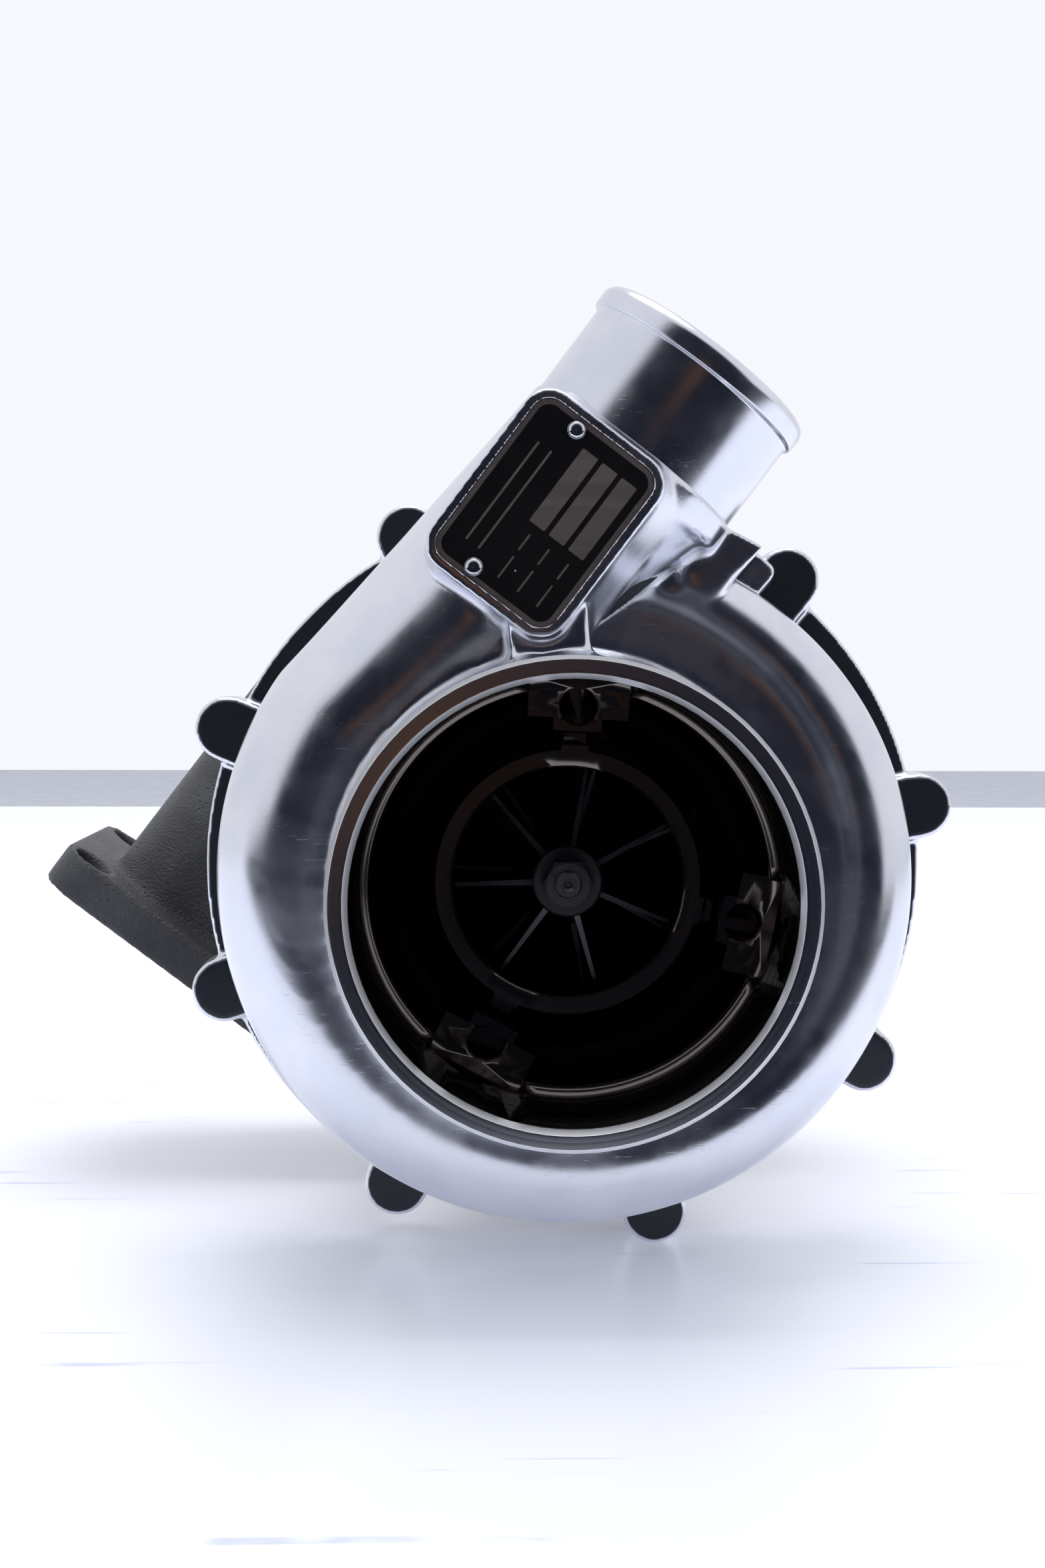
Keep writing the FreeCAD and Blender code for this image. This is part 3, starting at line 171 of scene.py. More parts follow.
def normals(piece):
    flat = np.zeros(len(piece.data.vertices) * 3)
    piece.data.vertices.foreach_get("normal", flat)
    return flat.reshape(-1, 3)


def cast(piece, voxel, passes, softness):
    remesh = piece.modifiers.new("voxels", "REMESH")
    remesh.mode = "VOXEL"
    remesh.voxel_size = voxel * mm
    settle(piece)
    rough = positions(piece)
    weights = np.round(softness(rough) * 10).astype(int)
    group = piece.vertex_groups.new(name="soft")
    for level in range(1, 11):
        members = np.nonzero(weights == level)[0].tolist()
        if members:
            group.add(members, level / 10, "REPLACE")
    for iterations, name in ((passes, "soft"), (4, "")):
        smooth = piece.modifiers.new("smooth", "SMOOTH")
        smooth.factor = 0.5
        smooth.iterations = iterations
        smooth.vertex_group = name
    settle(piece)
    piece.vertex_groups.clear()
    filled = np.sum((positions(piece) - rough) * normals(piece), axis=1)
    attribute = piece.data.attributes.new("filled", "FLOAT", "POINT")
    attribute.data.foreach_set("value", filled.astype(np.float32))
    piece.data.shade_smooth()
    return piece


def crisp(piece, angle=30):
    piece.data.shade_smooth()
    piece.data.set_sharp_from_angle(angle=math.radians(angle))
    return piece


def place(piece, material, body, slotName, *replaced):
    piece.data.materials.clear()
    piece.data.materials.append(material)
    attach(piece, body)
    if replaced:
        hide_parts(*replaced)
    return piece


# Material helpers: a value that is a socket is linked, anything else is set.

def feed(tree, node, values):
    for name, value in values.items():
        if isinstance(value, bpy.types.NodeSocket):
            tree.links.new(value, node.inputs[name])
        else:
            node.inputs[name].default_value = value


def put(tree, kind, values=None, **settings):
    node = tree.nodes.new(kind)
    for name, value in settings.items():
        setattr(node, name, value)
    feed(tree, node, values or {})
    return node


def calc(tree, operation, first, second=0.0):
    return put(tree, "ShaderNodeMath", {0: first, 1: second}, operation=operation).outputs[0]


def ramp(tree, value, low, high, bottom=0.0, top=1.0):
    return put(tree, "ShaderNodeMapRange", {
        "Value": value, "From Min": low, "From Max": high, "To Min": bottom, "To Max": top},
        interpolation_type="SMOOTHSTEP").outputs["Result"]


def blendColour(tree, factor, first, second):
    colourA, colourB, colourOut = 6, 7, 2  # the colour sockets among the mix node's many
    node = put(tree, "ShaderNodeMix", {0: factor, colourA: first, colourB: second}, data_type="RGBA")
    return node.outputs[colourOut]


def makeGroup(name, inputs, outputs):
    group = bpy.data.node_groups.new(name, "ShaderNodeTree")
    for label, kind, value in inputs:
        socket = group.interface.new_socket(label, in_out="INPUT", socket_type=kind)
        if value is not None:
            socket.default_value = value
    for label in outputs:
        group.interface.new_socket(label, in_out="OUTPUT", socket_type="NodeSocketFloat")
    return group, group.nodes.new("NodeGroupInput").outputs, group.nodes.new("NodeGroupOutput").inputs


def castSkinGroup():
    group, given, result = makeGroup("castSkin", [
        ("Place", "NodeSocketVector", None), ("Grain", "NodeSocketFloat", 1200.0),
        ("Pits", "NodeSocketFloat", 0.5)], ["Height", "Mottle", "Pit"])
    fine = put(group, "ShaderNodeTexNoise", {
        "Vector": given["Place"], "Scale": given["Grain"], "Detail": 4.0, "Roughness": 0.6})
    broad = put(group, "ShaderNodeTexNoise", {
        "Vector": given["Place"], "Scale": 55.0, "Detail": 5.0, "Roughness": 0.55})
    cells = put(group, "ShaderNodeTexVoronoi", {
        "Vector": given["Place"], "Scale": calc(group, "MULTIPLY", given["Grain"], 0.4)})
    pit = ramp(group, cells.outputs["Distance"], 0.32, 0.08)
    chosen = ramp(group, broad.outputs[0], 0.5, 0.62)
    pit = calc(group, "MULTIPLY", calc(group, "MULTIPLY", pit, chosen), given["Pits"])
    group.links.new(calc(group, "SUBTRACT", fine.outputs[0], pit), result["Height"])
    group.links.new(ramp(group, broad.outputs[0], 0.35, 0.65), result["Mottle"])
    group.links.new(pit, result["Pit"])
    return group


def toolMarksGroup():
    group, given, result = makeGroup("toolMarks", [
        ("Place", "NodeSocketVector", None), ("Pitch", "NodeSocketFloat", 2500.0)],
        ["Height", "Streak"])
    parts = put(group, "ShaderNodeSeparateXYZ", {0: given["Place"]}).outputs
    across = calc(group, "SQRT", calc(group, "ADD", calc(group, "MULTIPLY", parts[0], parts[0]),
                                      calc(group, "MULTIPLY", parts[2], parts[2])))
    line = put(group, "ShaderNodeCombineXYZ", {0: across, 1: parts[1]}).outputs[0]
    marks = put(group, "ShaderNodeTexNoise", {
        "Vector": line, "Scale": given["Pitch"], "Detail": 2.0}, noise_dimensions="2D")
    bands = put(group, "ShaderNodeTexNoise", {
        "Vector": line, "Scale": 320.0, "Detail": 3.0}, noise_dimensions="2D")
    group.links.new(marks.outputs[0], result["Height"])
    group.links.new(ramp(group, bands.outputs[0], 0.35, 0.65), result["Streak"])
    return group


def scratchGroup():
    group, given, result = makeGroup("scratches", [
        ("Place", "NodeSocketVector", None), ("Length", "NodeSocketFloat", 60.0),
        ("Amount", "NodeSocketFloat", 0.5)], ["Scratch", "Speck"])
    total = None
    for turn in ((0.3, 0.2, 0.5), (1.2, 2.0, 0.1), (2.3, 0.7, 1.6)):
        turned = put(group, "ShaderNodeMapping", {
            "Vector": given["Place"], "Rotation": turn, "Scale": (1.0, 26.0, 26.0)}).outputs[0]
        lines = put(group, "ShaderNodeTexNoise", {
            "Vector": turned, "Scale": given["Length"], "Detail": 1.5, "Distortion": 0.4})
        line = ramp(group, lines.outputs[0], 0.70, 0.76)
        total = line if total is None else calc(group, "MAXIMUM", total, line)
    patch = put(group, "ShaderNodeTexNoise", {"Vector": given["Place"], "Scale": 38.0})
    patch = ramp(group, patch.outputs[0], 0.45, 0.62)
    total = calc(group, "MULTIPLY", calc(group, "MULTIPLY", total, patch), given["Amount"])
    cells = put(group, "ShaderNodeTexVoronoi", {"Vector": given["Place"], "Scale": 260.0})
    dot = ramp(group, cells.outputs["Distance"], 0.05, 0.025)
    pick = put(group, "ShaderNodeSeparateColor", {0: cells.outputs["Color"]}).outputs[0]
    dot = calc(group, "MULTIPLY", dot, ramp(group, pick, 0.86, 0.87))
    group.links.new(total, result["Scratch"])
    group.links.new(dot, result["Speck"])
    return group


groups = {"castSkin": castSkinGroup(), "toolMarks": toolMarksGroup(), "scratches": scratchGroup()}


def startMaterial(name):
    material = bpy.data.materials.new(name)
    material.use_nodes = True
    tree = material.node_tree
    shader = tree.nodes["Principled BSDF"]
    where = put(tree, "ShaderNodeTexCoord").outputs["Object"]
    return material, tree, shader, where


def useGroup(tree, name, values):
    node = tree.nodes.new("ShaderNodeGroup")
    node.node_tree = groups[name]
    feed(tree, node, values)
    return node.outputs


def bump(tree, shader, height, strength, depth):
    node = put(tree, "ShaderNodeBump", {"Height": height, "Strength": strength, "Distance": depth})
    tree.links.new(node.outputs[0], shader.inputs["Normal"])


def tumbledAluminium():
    # the flange's front face, from faceStart along the shaft and facing -Y, is rougher and less metallic,
    # and its near-black colour is painted shade; creases are duller
    tuned = {
        "colour": (0.70, 0.72, 0.79, 1), "bright": (0.78, 0.79, 0.85, 1), "crease": (0.62, 0.62, 0.66, 1),
        # painted shade: near-black colour for the flange's front face
        "face": (0.022, 0.025, 0.034, 1), "faceStart": 0.0733, "faceFade": 0.0004,
        "faceFacing": (-0.93, -0.98),
        "filled": (0.25, 0.8), "smooth": 0.19, "uneven": 0.07, "dull": 0.22, "faceDull": 0.12,
        "scratchDull": 0.2, "grain": (0.12, 0.9), "relief": 0.35, "depth": 0.00012,
    }
    material, tree, shader, where = startMaterial("tumbledAluminium")
    skin = useGroup(tree, "castSkin", {"Place": where, "Grain": 1500.0, "Pits": 0.5})
    marks = useGroup(tree, "scratches", {"Place": where, "Length": 70.0, "Amount": 0.35})
    filled = put(tree, "ShaderNodeAttribute", attribute_name="filled").outputs["Fac"]
    crease = ramp(tree, filled, *tuned["filled"])
    station = put(tree, "ShaderNodeSeparateXYZ", {0: where}).outputs[1]
    facing = put(tree, "ShaderNodeSeparateXYZ", {
        0: put(tree, "ShaderNodeTexCoord").outputs["Normal"]}).outputs[1]
    # mask of the painted shade on the flange's front face facing -Y
    face = calc(tree, "MULTIPLY",
                ramp(tree, station, tuned["faceStart"], tuned["faceStart"] + tuned["faceFade"]),
                ramp(tree, facing, *tuned["faceFacing"]))
    colour = blendColour(tree, skin["Mottle"], tuned["colour"], tuned["bright"])
    colour = blendColour(tree, crease, colour, tuned["crease"])
    # paints the shade onto the flange's front face
    colour = blendColour(tree, face, colour, tuned["face"])
    rough = ramp(tree, skin["Mottle"], 0.0, 1.0, tuned["smooth"], tuned["smooth"] + tuned["uneven"])
    for mask, amount in ((crease, "dull"), (face, "faceDull"), (marks["Scratch"], "scratchDull")):
        rough = calc(tree, "ADD", rough, calc(tree, "MULTIPLY", mask, tuned[amount]))
    tree.links.new(colour, shader.inputs["Base Color"])
    tree.links.new(rough, shader.inputs["Roughness"])
    tree.links.new(ramp(tree, face, 0.0, 1.0, 1.0, 0.25), shader.inputs["Metallic"])
    grain = calc(tree, "MULTIPLY", skin["Height"], ramp(tree, crease, 0.0, 1.0, *tuned["grain"]))
    height = calc(tree, "SUBTRACT", grain, calc(tree, "MULTIPLY", marks["Scratch"], 0.5))
    bump(tree, shader, height, tuned["relief"], tuned["depth"])
    return material


def turnedMetal(name, colour, rough, pitch=2500.0, strength=0.15, boreShade=None, metal=1.0):
    # painted shade: a dark brown colour darkens what lies deeper than the rim's chamfer, which is rougher
    tuned = {"shade": 0.86, "uneven": 0.08, "scratchDull": 0.15, "boreShadeStart": (0.0012, 0.003),
             "chamferStart": (0.00004, 0.0001), "chamferEnd": (0.0013, 0.0012), "chamferDull": 0.35}
    material, tree, shader, where = startMaterial(name)
    marks = useGroup(tree, "toolMarks", {"Place": where, "Pitch": pitch})
    lines = useGroup(tree, "scratches", {"Place": where, "Length": 60.0, "Amount": 0.4})
    darker = tuple(tuned["shade"] * part for part in colour[:3]) + (1,)
    shade = blendColour(tree, marks["Streak"], darker, colour)
    value = ramp(tree, marks["Streak"], 0.0, 1.0, rough, rough + tuned["uneven"])
    value = calc(tree, "ADD", value, calc(tree, "MULTIPLY", lines["Scratch"], tuned["scratchDull"]))
    if boreShade:
        station = put(tree, "ShaderNodeSeparateXYZ", {0: where}).outputs[1]
        # painted shade inside the bore, deeper than the chamfer
        shade = blendColour(tree, ramp(tree, station, *tuned["boreShadeStart"]), shade, boreShade)
        chamfer = calc(tree, "MULTIPLY", ramp(tree, station, *tuned["chamferStart"]),
                       ramp(tree, station, *tuned["chamferEnd"]))
        value = calc(tree, "ADD", value, calc(tree, "MULTIPLY", chamfer, tuned["chamferDull"]))
    tree.links.new(shade, shader.inputs["Base Color"])
    tree.links.new(value, shader.inputs["Roughness"])
    shader.inputs["Metallic"].default_value = metal
    bump(tree, shader, marks["Height"], strength, 0.00004)
    return material


def castIron(name, dark, light, rough, grain, strength):
    tuned = {"pits": 0.8, "glintScale": 1.3, "glintDull": 0.18, "uneven": (0.1, 0.06), "metal": 0.5,
             "depth": 0.0007}
    material, tree, shader, where = startMaterial(name)
    skin = useGroup(tree, "castSkin", {"Place": where, "Grain": grain, "Pits": tuned["pits"]})
    sparkle = put(tree, "ShaderNodeTexVoronoi", {"Vector": where, "Scale": grain * tuned["glintScale"]})
    glint = ramp(tree, sparkle.outputs["Distance"], 0.18, 0.05)
    colour = blendColour(tree, skin["Mottle"], dark, light)
    tree.links.new(colour, shader.inputs["Base Color"])
    rougher, smoother = tuned["uneven"]
    value = ramp(tree, skin["Height"], 0.3, 0.7, rough + rougher, rough - smoother)
    value = calc(tree, "SUBTRACT", value, calc(tree, "MULTIPLY", glint, tuned["glintDull"]))
    tree.links.new(value, shader.inputs["Roughness"])
    shader.inputs["Metallic"].default_value = tuned["metal"]
    bump(tree, shader, skin["Height"], strength, tuned["depth"])
    return material


def enamel(name, colour, rough):
    material, tree, shader, where = startMaterial(name)
    skin = useGroup(tree, "castSkin", {"Place": where, "Grain": 700.0, "Pits": 0.0})
    marks = useGroup(tree, "scratches", {"Place": where, "Length": 110.0, "Amount": 0.5})
    shade = blendColour(tree, marks["Speck"], colour, (0.75, 0.76, 0.8, 1))
    tree.links.new(shade, shader.inputs["Base Color"])
    value = ramp(tree, skin["Mottle"], 0.0, 1.0, rough, rough + 0.1)
    tree.links.new(calc(tree, "ADD", value, calc(tree, "MULTIPLY", marks["Scratch"], 0.3)),
                   shader.inputs["Roughness"])
    bump(tree, shader, skin["Height"], 0.05, 0.0001)
    return material


materials = {
    "cast": tumbledAluminium(),
    "turned": turnedMetal("turnedAluminium", (0.74, 0.75, 0.78, 1), 0.16),
    # painted shade: dark brown inside the bore, deeper than the rim's chamfer
    "boreShaded": turnedMetal("boreShadedAluminium", (0.74, 0.75, 0.78, 1), 0.16, boreShade=(0.17, 0.15, 0.14, 1)),
    # painted shade: the aluminium wheel is painted dark grey for the dark bore it sits in
    "shadedWheel": turnedMetal("shadedWheelAluminium", (0.16, 0.16, 0.17, 1), 0.34),
    "plate": turnedMetal("plateMetal", (0.15, 0.128, 0.12, 1), 0.42, 900.0, metal=0.35),
    "enamel": enamel("blackEnamel", (0.006, 0.006, 0.007, 1), 0.22),
    "rivet": turnedMetal("rivetSteel", (0.72, 0.74, 0.78, 1), 0.12),
    "steel": turnedMetal("shaftSteel", (0.52, 0.53, 0.55, 1), 0.2),
    "darkSteel": castIron("darkSteel", (0.05, 0.05, 0.055, 1), (0.10, 0.10, 0.11, 1), 0.38, 2200.0, 0.25),
    "alloy": castIron("turbineAlloy", (0.20, 0.18, 0.16, 1), (0.30, 0.27, 0.24, 1), 0.42, 1600.0, 0.3),
    "greyIron": castIron("greyIron", (0.13, 0.13, 0.135, 1), (0.22, 0.22, 0.225, 1), 0.5, 1100.0, 0.6),
    "darkIron": castIron("darkIron", (0.062, 0.063, 0.069, 1), (0.092, 0.094, 0.101, 1), 0.4, 1500.0, 1.0),
    "bronze": turnedMetal("bronze", (0.72, 0.47, 0.22, 1), 0.25),
    "rubber": enamel("rubber", (0.012, 0.012, 0.012, 1), 0.6),
}
print("materials made:", len(materials))


# The cover's casting: closed forms that overlap, melted into one skin.

outlet = {
    "angle": 53.0, "offset": 45.1, "station": 44.0, "radius": 25.5, "bore": 22.5,
    "shoulder": 83.0, "shoulderRadius": 26.1, "beadStart": 104.4, "end": 110.0, "bead": 1.2,
}
outletWay = polar(1, outlet["angle"])
outletSide = polar(1, outlet["angle"] + 90)


def outletPoint(along, across, station):
    return outletWay * along + outletSide * across + shaft * station


scroll = {
    "exitAngle": 143.0, "firstTurn": 15, "turnStep": 3, "front": 54.0, "gain": 36.0, "shallow": 44.5,
    "web": 48.0, "webDrop": 1.9, "webFlat": 1.4, "flatStart": 0.35, "flatSpan": 0.25,
    "reach": 78.6, "reachGain": 7.0, "shift": 1.7, "shiftTurn": 278.0,
    "crest": 70.6, "crestLoss": 12.7, "inner": 4.8, "rise": 1.06, "root": 47.2, "back": 77.0,
    "innerSteps": 8, "outerSteps": 16,
}


def scrollOutline(turn):
    share = turn / 360
    front = min(scroll["shallow"], scroll["front"] - scroll["gain"] * share)
    flat = min(1, max(0, (share - scroll["flatStart"]) / scroll["flatSpan"]))
    drop = scroll["webDrop"] - scroll["webFlat"] * flat
    web = min(scroll["web"], front + drop)
    reach = scroll["reach"] - scroll["reachGain"] * (1 - share) ** 3
    reach -= scroll["shift"] * math.cos(math.radians(turn - scroll["shiftTurn"]))
    crest = scroll["crest"] - scroll["crestLoss"] * share
    rise = scroll["rise"] * (reach - crest)
    points = [(scroll["root"], scroll["back"]), (scroll["root"], web)]
    for step in range(scroll["innerSteps"] + 1):
        part = step / scroll["innerSteps"]
        lift = (1 - math.cos(math.pi * part)) / 2
        points.append((crest - scroll["inner"] * (1 - part), web + (front - web) * lift))
    for step in range(scroll["outerSteps"]):
        tilt = math.pi / 2 * (step + 1) / scroll["outerSteps"]
        points.append((crest + (reach - crest) * math.sin(tilt), front + rise * (1 - math.cos(tilt))))
    points.append((reach, scroll["back"]))
    return points


def scrollBody():
    loops = []
    for turn in range(scroll["firstTurn"], 361, scroll["turnStep"]):
        angle = scroll["exitAngle"] - turn
        loops.append([polar(radius, angle, station) for radius, station in scrollOutline(turn)])
    return loft("scroll", loops)


def finer(outline, gap):
    # extra points along the long straight edges, so that they can turn into arcs
    points = []
    for first, last in zip(outline, outline[1:] + outline[:1]):
        steps = max(1, round(math.dist(first, last) / gap))
        points += [tuple(a + (b - a) * step / steps for a, b in zip(first, last)) for step in range(steps)]
    return points


def outletNeck():
    # the scroll's last outline turns into the shoulder's circle; each point keeps its bearing
    # from the middle of the outline
    neck = {"middle": (64.0, 46.0), "overlap": 1.0, "steps": 30, "gap": 3.0}
    start = finer(scrollOutline(360), neck["gap"])
    loops = []
    for step in range(neck["steps"] + 1):
        share = step / neck["steps"]
        along = (outlet["shoulder"] + neck["overlap"]) * share - neck["overlap"]
        loop = []
        for radius, station in start:
            turn = math.atan2(station - neck["middle"][1], radius - neck["middle"][0])
            across = outlet["offset"] + outlet["shoulderRadius"] * math.cos(turn)
            deep = outlet["station"] + outlet["shoulderRadius"] * math.sin(turn)
            loop.append(outletPoint(along, radius + (across - radius) * share,
                                    station + (deep - station) * share))
        loops.append(loop)
    return loft("outletNeck", loops)


flange = {
    "neck": 50.75, "core": 46.7, "rim": 0.5, "web": 48.0, "webRadius": 64, "cone": (72, 66),
    "frontInside": 74, "front": 76.0, "radius": 84.4, "back": 86.0, "spigot": 79.1, "spigotFront": 77.2,
    "lugCircle": 85.5, "lugRadius": 7.6, "lugFront": 74.0, "lugFirst": 52.3, "lugStep": 42.45,
    "lugCount": 8, "lugRoot": 12.0,
}


def coverCore():
    return lathe("coverCore", [
        (flange["core"], flange["rim"]), (flange["neck"], flange["rim"]),
        (flange["neck"], flange["web"]), (flange["webRadius"], flange["web"]), flange["cone"],
        (flange["frontInside"], flange["front"]), (flange["radius"], flange["front"]),
        (flange["radius"], flange["back"]), (flange["spigot"], flange["back"]),
        (flange["spigot"], flange["spigotFront"]), (flange["core"], flange["spigotFront"])], 360)


def coverLugs():
    lugs = []
    for number in range(flange["lugCount"]):
        angle = flange["lugFirst"] - number * flange["lugStep"]
        out, side = polar(1, angle), polar(1, angle + 90)
        centre = polar(flange["lugCircle"], angle, flange["lugFront"])
        outline = arc((0, 0), flange["lugRadius"], -90, 90, 20)
        outline += [(-flange["lugRoot"], flange["lugRadius"]), (-flange["lugRoot"], -flange["lugRadius"])]
        loop = [centre + out * u + side * v for u, v in outline]
        lugs.append(prism("lug", loop, shaft * (flange["back"] - flange["lugFront"])))
    return lugs


plate = {
    "along": 60.1, "across": 52.7, "length": 40.0, "width": 30.0, "corner": 4.0,
    "front": 14.2, "thick": 0.8, "padBorder": 2.2, "pocket": 1.0, "gap": 0.15,
    "padGrowth": ((0.0, 0.0), (3.0, 0.3), (13.0, 3.0), (28.0, 3.0)),  # depth behind the front, growth
}


def plateLoop(station, border):
    return roundedLoop(outletPoint(plate["along"], plate["across"], station), outletWay, outletSide,
                       plate["length"] + 2 * border, plate["width"] + 2 * border,
                       plate["corner"] + border, 10)


def platePad():
    # the pad grows towards the neck only; a gusset joins its lower end to the inlet's rim
    gusset = {"radius": 54.5, "angle": 95, "drop": 1.8, "length": 15, "width": 17, "corner": 3, "deep": 30.0}
    front = plate["front"] - plate["pocket"]
    loops = []
    for depth, growth in plate["padGrowth"]:
        loop = plateLoop(front + depth, plate["padBorder"] + growth)
        loops.append([point - outletSide * growth for point in loop])
    foot = polar(gusset["radius"], gusset["angle"], front + gusset["drop"])
    loop = roundedLoop(foot, polar(1, gusset["angle"]), polar(1, gusset["angle"] + 90),
                       gusset["length"], gusset["width"], gusset["corner"])
    return [loft("platePad", loops), prism("gusset", loop, shaft * gusset["deep"])]


boss = {
    "foot": (26.6, 64.2), "angle": 50.0, "half": 6.1, "length": 24.0, "front": 43.5, "deep": 34.0,
    "edge": 85.8, "disc": (40, 90), "lowRadius": 79.0, "lowAngle": 58.6, "lowFront": 62.0,
    "lowLength": 13.0, "lowWidth": 9.0, "lowCorner": 2.0, "lowDeep": 14.0,
}


def castBoss():
    # a round-ended block trimmed to the flange's disc, with a lower block beside it
    way, side = polar(1, boss["angle"]), polar(1, boss["angle"] + 90)
    start = Vector((boss["foot"][0], boss["front"], boss["foot"][1])) + way * boss["half"]
    outline = arc((0, 0), boss["half"], 90, 270, 16)
    outline += [(boss["length"], -boss["half"]), (boss["length"], boss["half"])]
    block = prism("boss", [start + way * u + side * v for u, v in outline], shaft * boss["deep"])
    near, far = boss["disc"]
    disc = lathe("bossDisc", [(0, near), (boss["edge"], near), (boss["edge"], far), (0, far)], 180)
    low = roundedLoop(polar(boss["lowRadius"], boss["lowAngle"], boss["lowFront"]), way, side,
                      boss["lowLength"], boss["lowWidth"], boss["lowCorner"])
    return [boolean(block, disc, "INTERSECT"), prism("lowBoss", low, shaft * boss["lowDeep"])]


def shoulderRing():
    ring = {"inside": 10, "corner": 1.0, "straight": 6.5, "length": 7.6, "proud": 1.0}
    radius = outlet["shoulderRadius"]
    base = outletPoint(outlet["shoulder"] - ring["length"] + ring["proud"], outlet["offset"],
                       outlet["station"])
    return lathe("shoulder", [
        (ring["inside"], 0), (radius, 0), (radius, ring["straight"]),
        (radius - ring["corner"], ring["length"]), (ring["inside"], ring["length"])],
        192, outletWay, base)


def softness(points):
    # how much each point is smoothed: less at the flange, rim, name plate pad, boss and shoulder
    crispness = {"flange": (71.5, 66.0), "rimRadius": 53, "rimReach": 60, "rim": (3.0, 9.0),
                 "pad": (22.5, 17.5), "padFade": (1.0, 5.0), "padDepth": (15.5, 19.0),
                 "bossAngle": 63, "bossSpread": 9, "bossRadius": 66, "bossFade": (0.0, 4.0),
                 "bossDepth": (50, 45), "shoulder": (2.0, 8.0), "least": 0.1, "bossLeast": 0.12}
    x, y, z = points.T
    radius = np.hypot(x, z)
    along = x * outletWay.x + z * outletWay.z
    across = x * outletSide.x + z * outletSide.z

    def ease(value, edges):
        return np.clip((value - edges[0]) / (edges[1] - edges[0]), 0, 1)

    def keep(share, least=crispness["least"]):
        return least + (1 - least) * share

    atFlange = keep(ease(y, crispness["flange"]))
    inNeck = (radius < crispness["rimRadius"]) & (along < crispness["rimReach"])
    atRim = np.where(inNeck, ease(y, crispness["rim"]), 1.0)
    padAway = np.maximum(np.abs(along - plate["along"]) - crispness["pad"][0],
                         np.abs(across - plate["across"]) - crispness["pad"][1])
    atPad = keep(np.maximum(ease(padAway, crispness["padFade"]), ease(y, crispness["padDepth"])))
    turned = np.abs(np.degrees(np.arctan2(z, x)) - crispness["bossAngle"]) - crispness["bossSpread"]
    bossAway = np.maximum(turned, 0) + np.maximum(crispness["bossRadius"] - radius, 0)
    atBoss = keep(np.maximum(ease(bossAway, crispness["bossFade"]), ease(y, crispness["bossDepth"])),
                  crispness["bossLeast"])
    atShoulder = keep(ease(np.abs(along - outlet["shoulder"]), crispness["shoulder"]),
                      crispness["bossLeast"])
    return np.minimum.reduce([atFlange, atRim, atPad, atBoss, atShoulder])


def coverCasting():
    skin = {"voxel": 0.6, "passes": 70, "pocketReach": 4.0}
    parts = [coverCore(), scrollBody(), outletNeck(), shoulderRing()] + coverLugs()
    parts += platePad() + castBoss()
    casting = cast(merge("cover_casting", parts), skin["voxel"], skin["passes"], softness)
    print("cover casting:", len(casting.data.polygons), "faces")
    pocket = prism("pocket", plateLoop(plate["front"] - skin["pocketReach"], plate["gap"]),
                   shaft * (skin["pocketReach"] + plate["thick"]))
    boolean(casting, pocket)
    boolean(casting, outletWell())
    place(casting, materials["cast"], "housing", "cast_aluminium", "compressor_cover")


def outletWell():
    # the way into the outlet tube narrows and bends towards the scroll as it goes down
    well = {"above": 6, "depth": 70, "narrowing": 0.3, "bend": 14, "steps": 12, "sides": 60}
    loops = []
    for step in range(well["steps"] + 1):
        share = step / well["steps"]
        radius = outlet["bore"] * (1 - well["narrowing"] * share ** 2)
        centre = outletPoint(outlet["shoulder"] + well["above"] - well["depth"] * share,
                             outlet["offset"] + well["bend"] * share ** 2, outlet["station"])
        loop = []
        for count in range(well["sides"]):
            turn = 2 * math.pi * count / well["sides"]
            loop.append(centre + outletSide * radius * math.cos(turn) + shaft * radius * math.sin(turn))
        loops.append(loop)
    return loft("outletWell", loops)


def machinedInlet():
    # the bored inside of the cover and its rim, straight from the frame's own solid
    bored = {"ahead": -2, "rimRadius": 52, "rimDepth": 3, "radius": 50, "end": 76.4, "crease": 24}
    insert = copyNode("cover_machined_inlet", "compressor_cover")
    region = lathe("inletRegion", [
        (0, bored["ahead"]), (bored["rimRadius"], bored["ahead"]), (bored["rimRadius"], bored["rimDepth"]),
        (bored["radius"], bored["rimDepth"]), (bored["radius"], bored["end"]), (0, bored["end"])], 360)
    boolean(insert, region, "INTERSECT")
    # the bore's material paints shade deeper than the chamfer
    place(crisp(insert, bored["crease"]), materials["boreShaded"], "housing", "machined_aluminium")


def outletTube():
    edge = {"sunk": 4, "fillet": 0.5, "lip": 0.7, "crown": 2.4, "bore": 0.5}
    radius, bore, base = outlet["radius"], outlet["bore"], outlet["shoulder"] - edge["sunk"]
    end, bead, crown = outlet["end"] - base, outlet["beadStart"] - base, radius + outlet["bead"]
    outline = [(bore, 0), (radius, 0), (radius, bead - edge["fillet"])]
    outline += arc((radius + edge["fillet"], bead - edge["fillet"]), edge["fillet"], 180, 90, 4)[1:]
    outline += arc((crown - edge["lip"], bead + edge["lip"]), edge["lip"], -90, 0, 5)
    outline += arc((crown - edge["crown"], end - edge["crown"]), edge["crown"], 0, 90, 8)
    outline += [(bore + edge["bore"], end), (bore, end - edge["bore"])]
    tube = lathe("cover_outlet_tube", outline, 256, outletWay,
                 outletPoint(base, outlet["offset"], outlet["station"]))
    place(crisp(tube), materials["cast"], "housing", "cast_aluminium")


coverCasting()
machinedInlet()
outletTube()
print("compressor cover made")


# The name plate, its blank fields and its rivets.

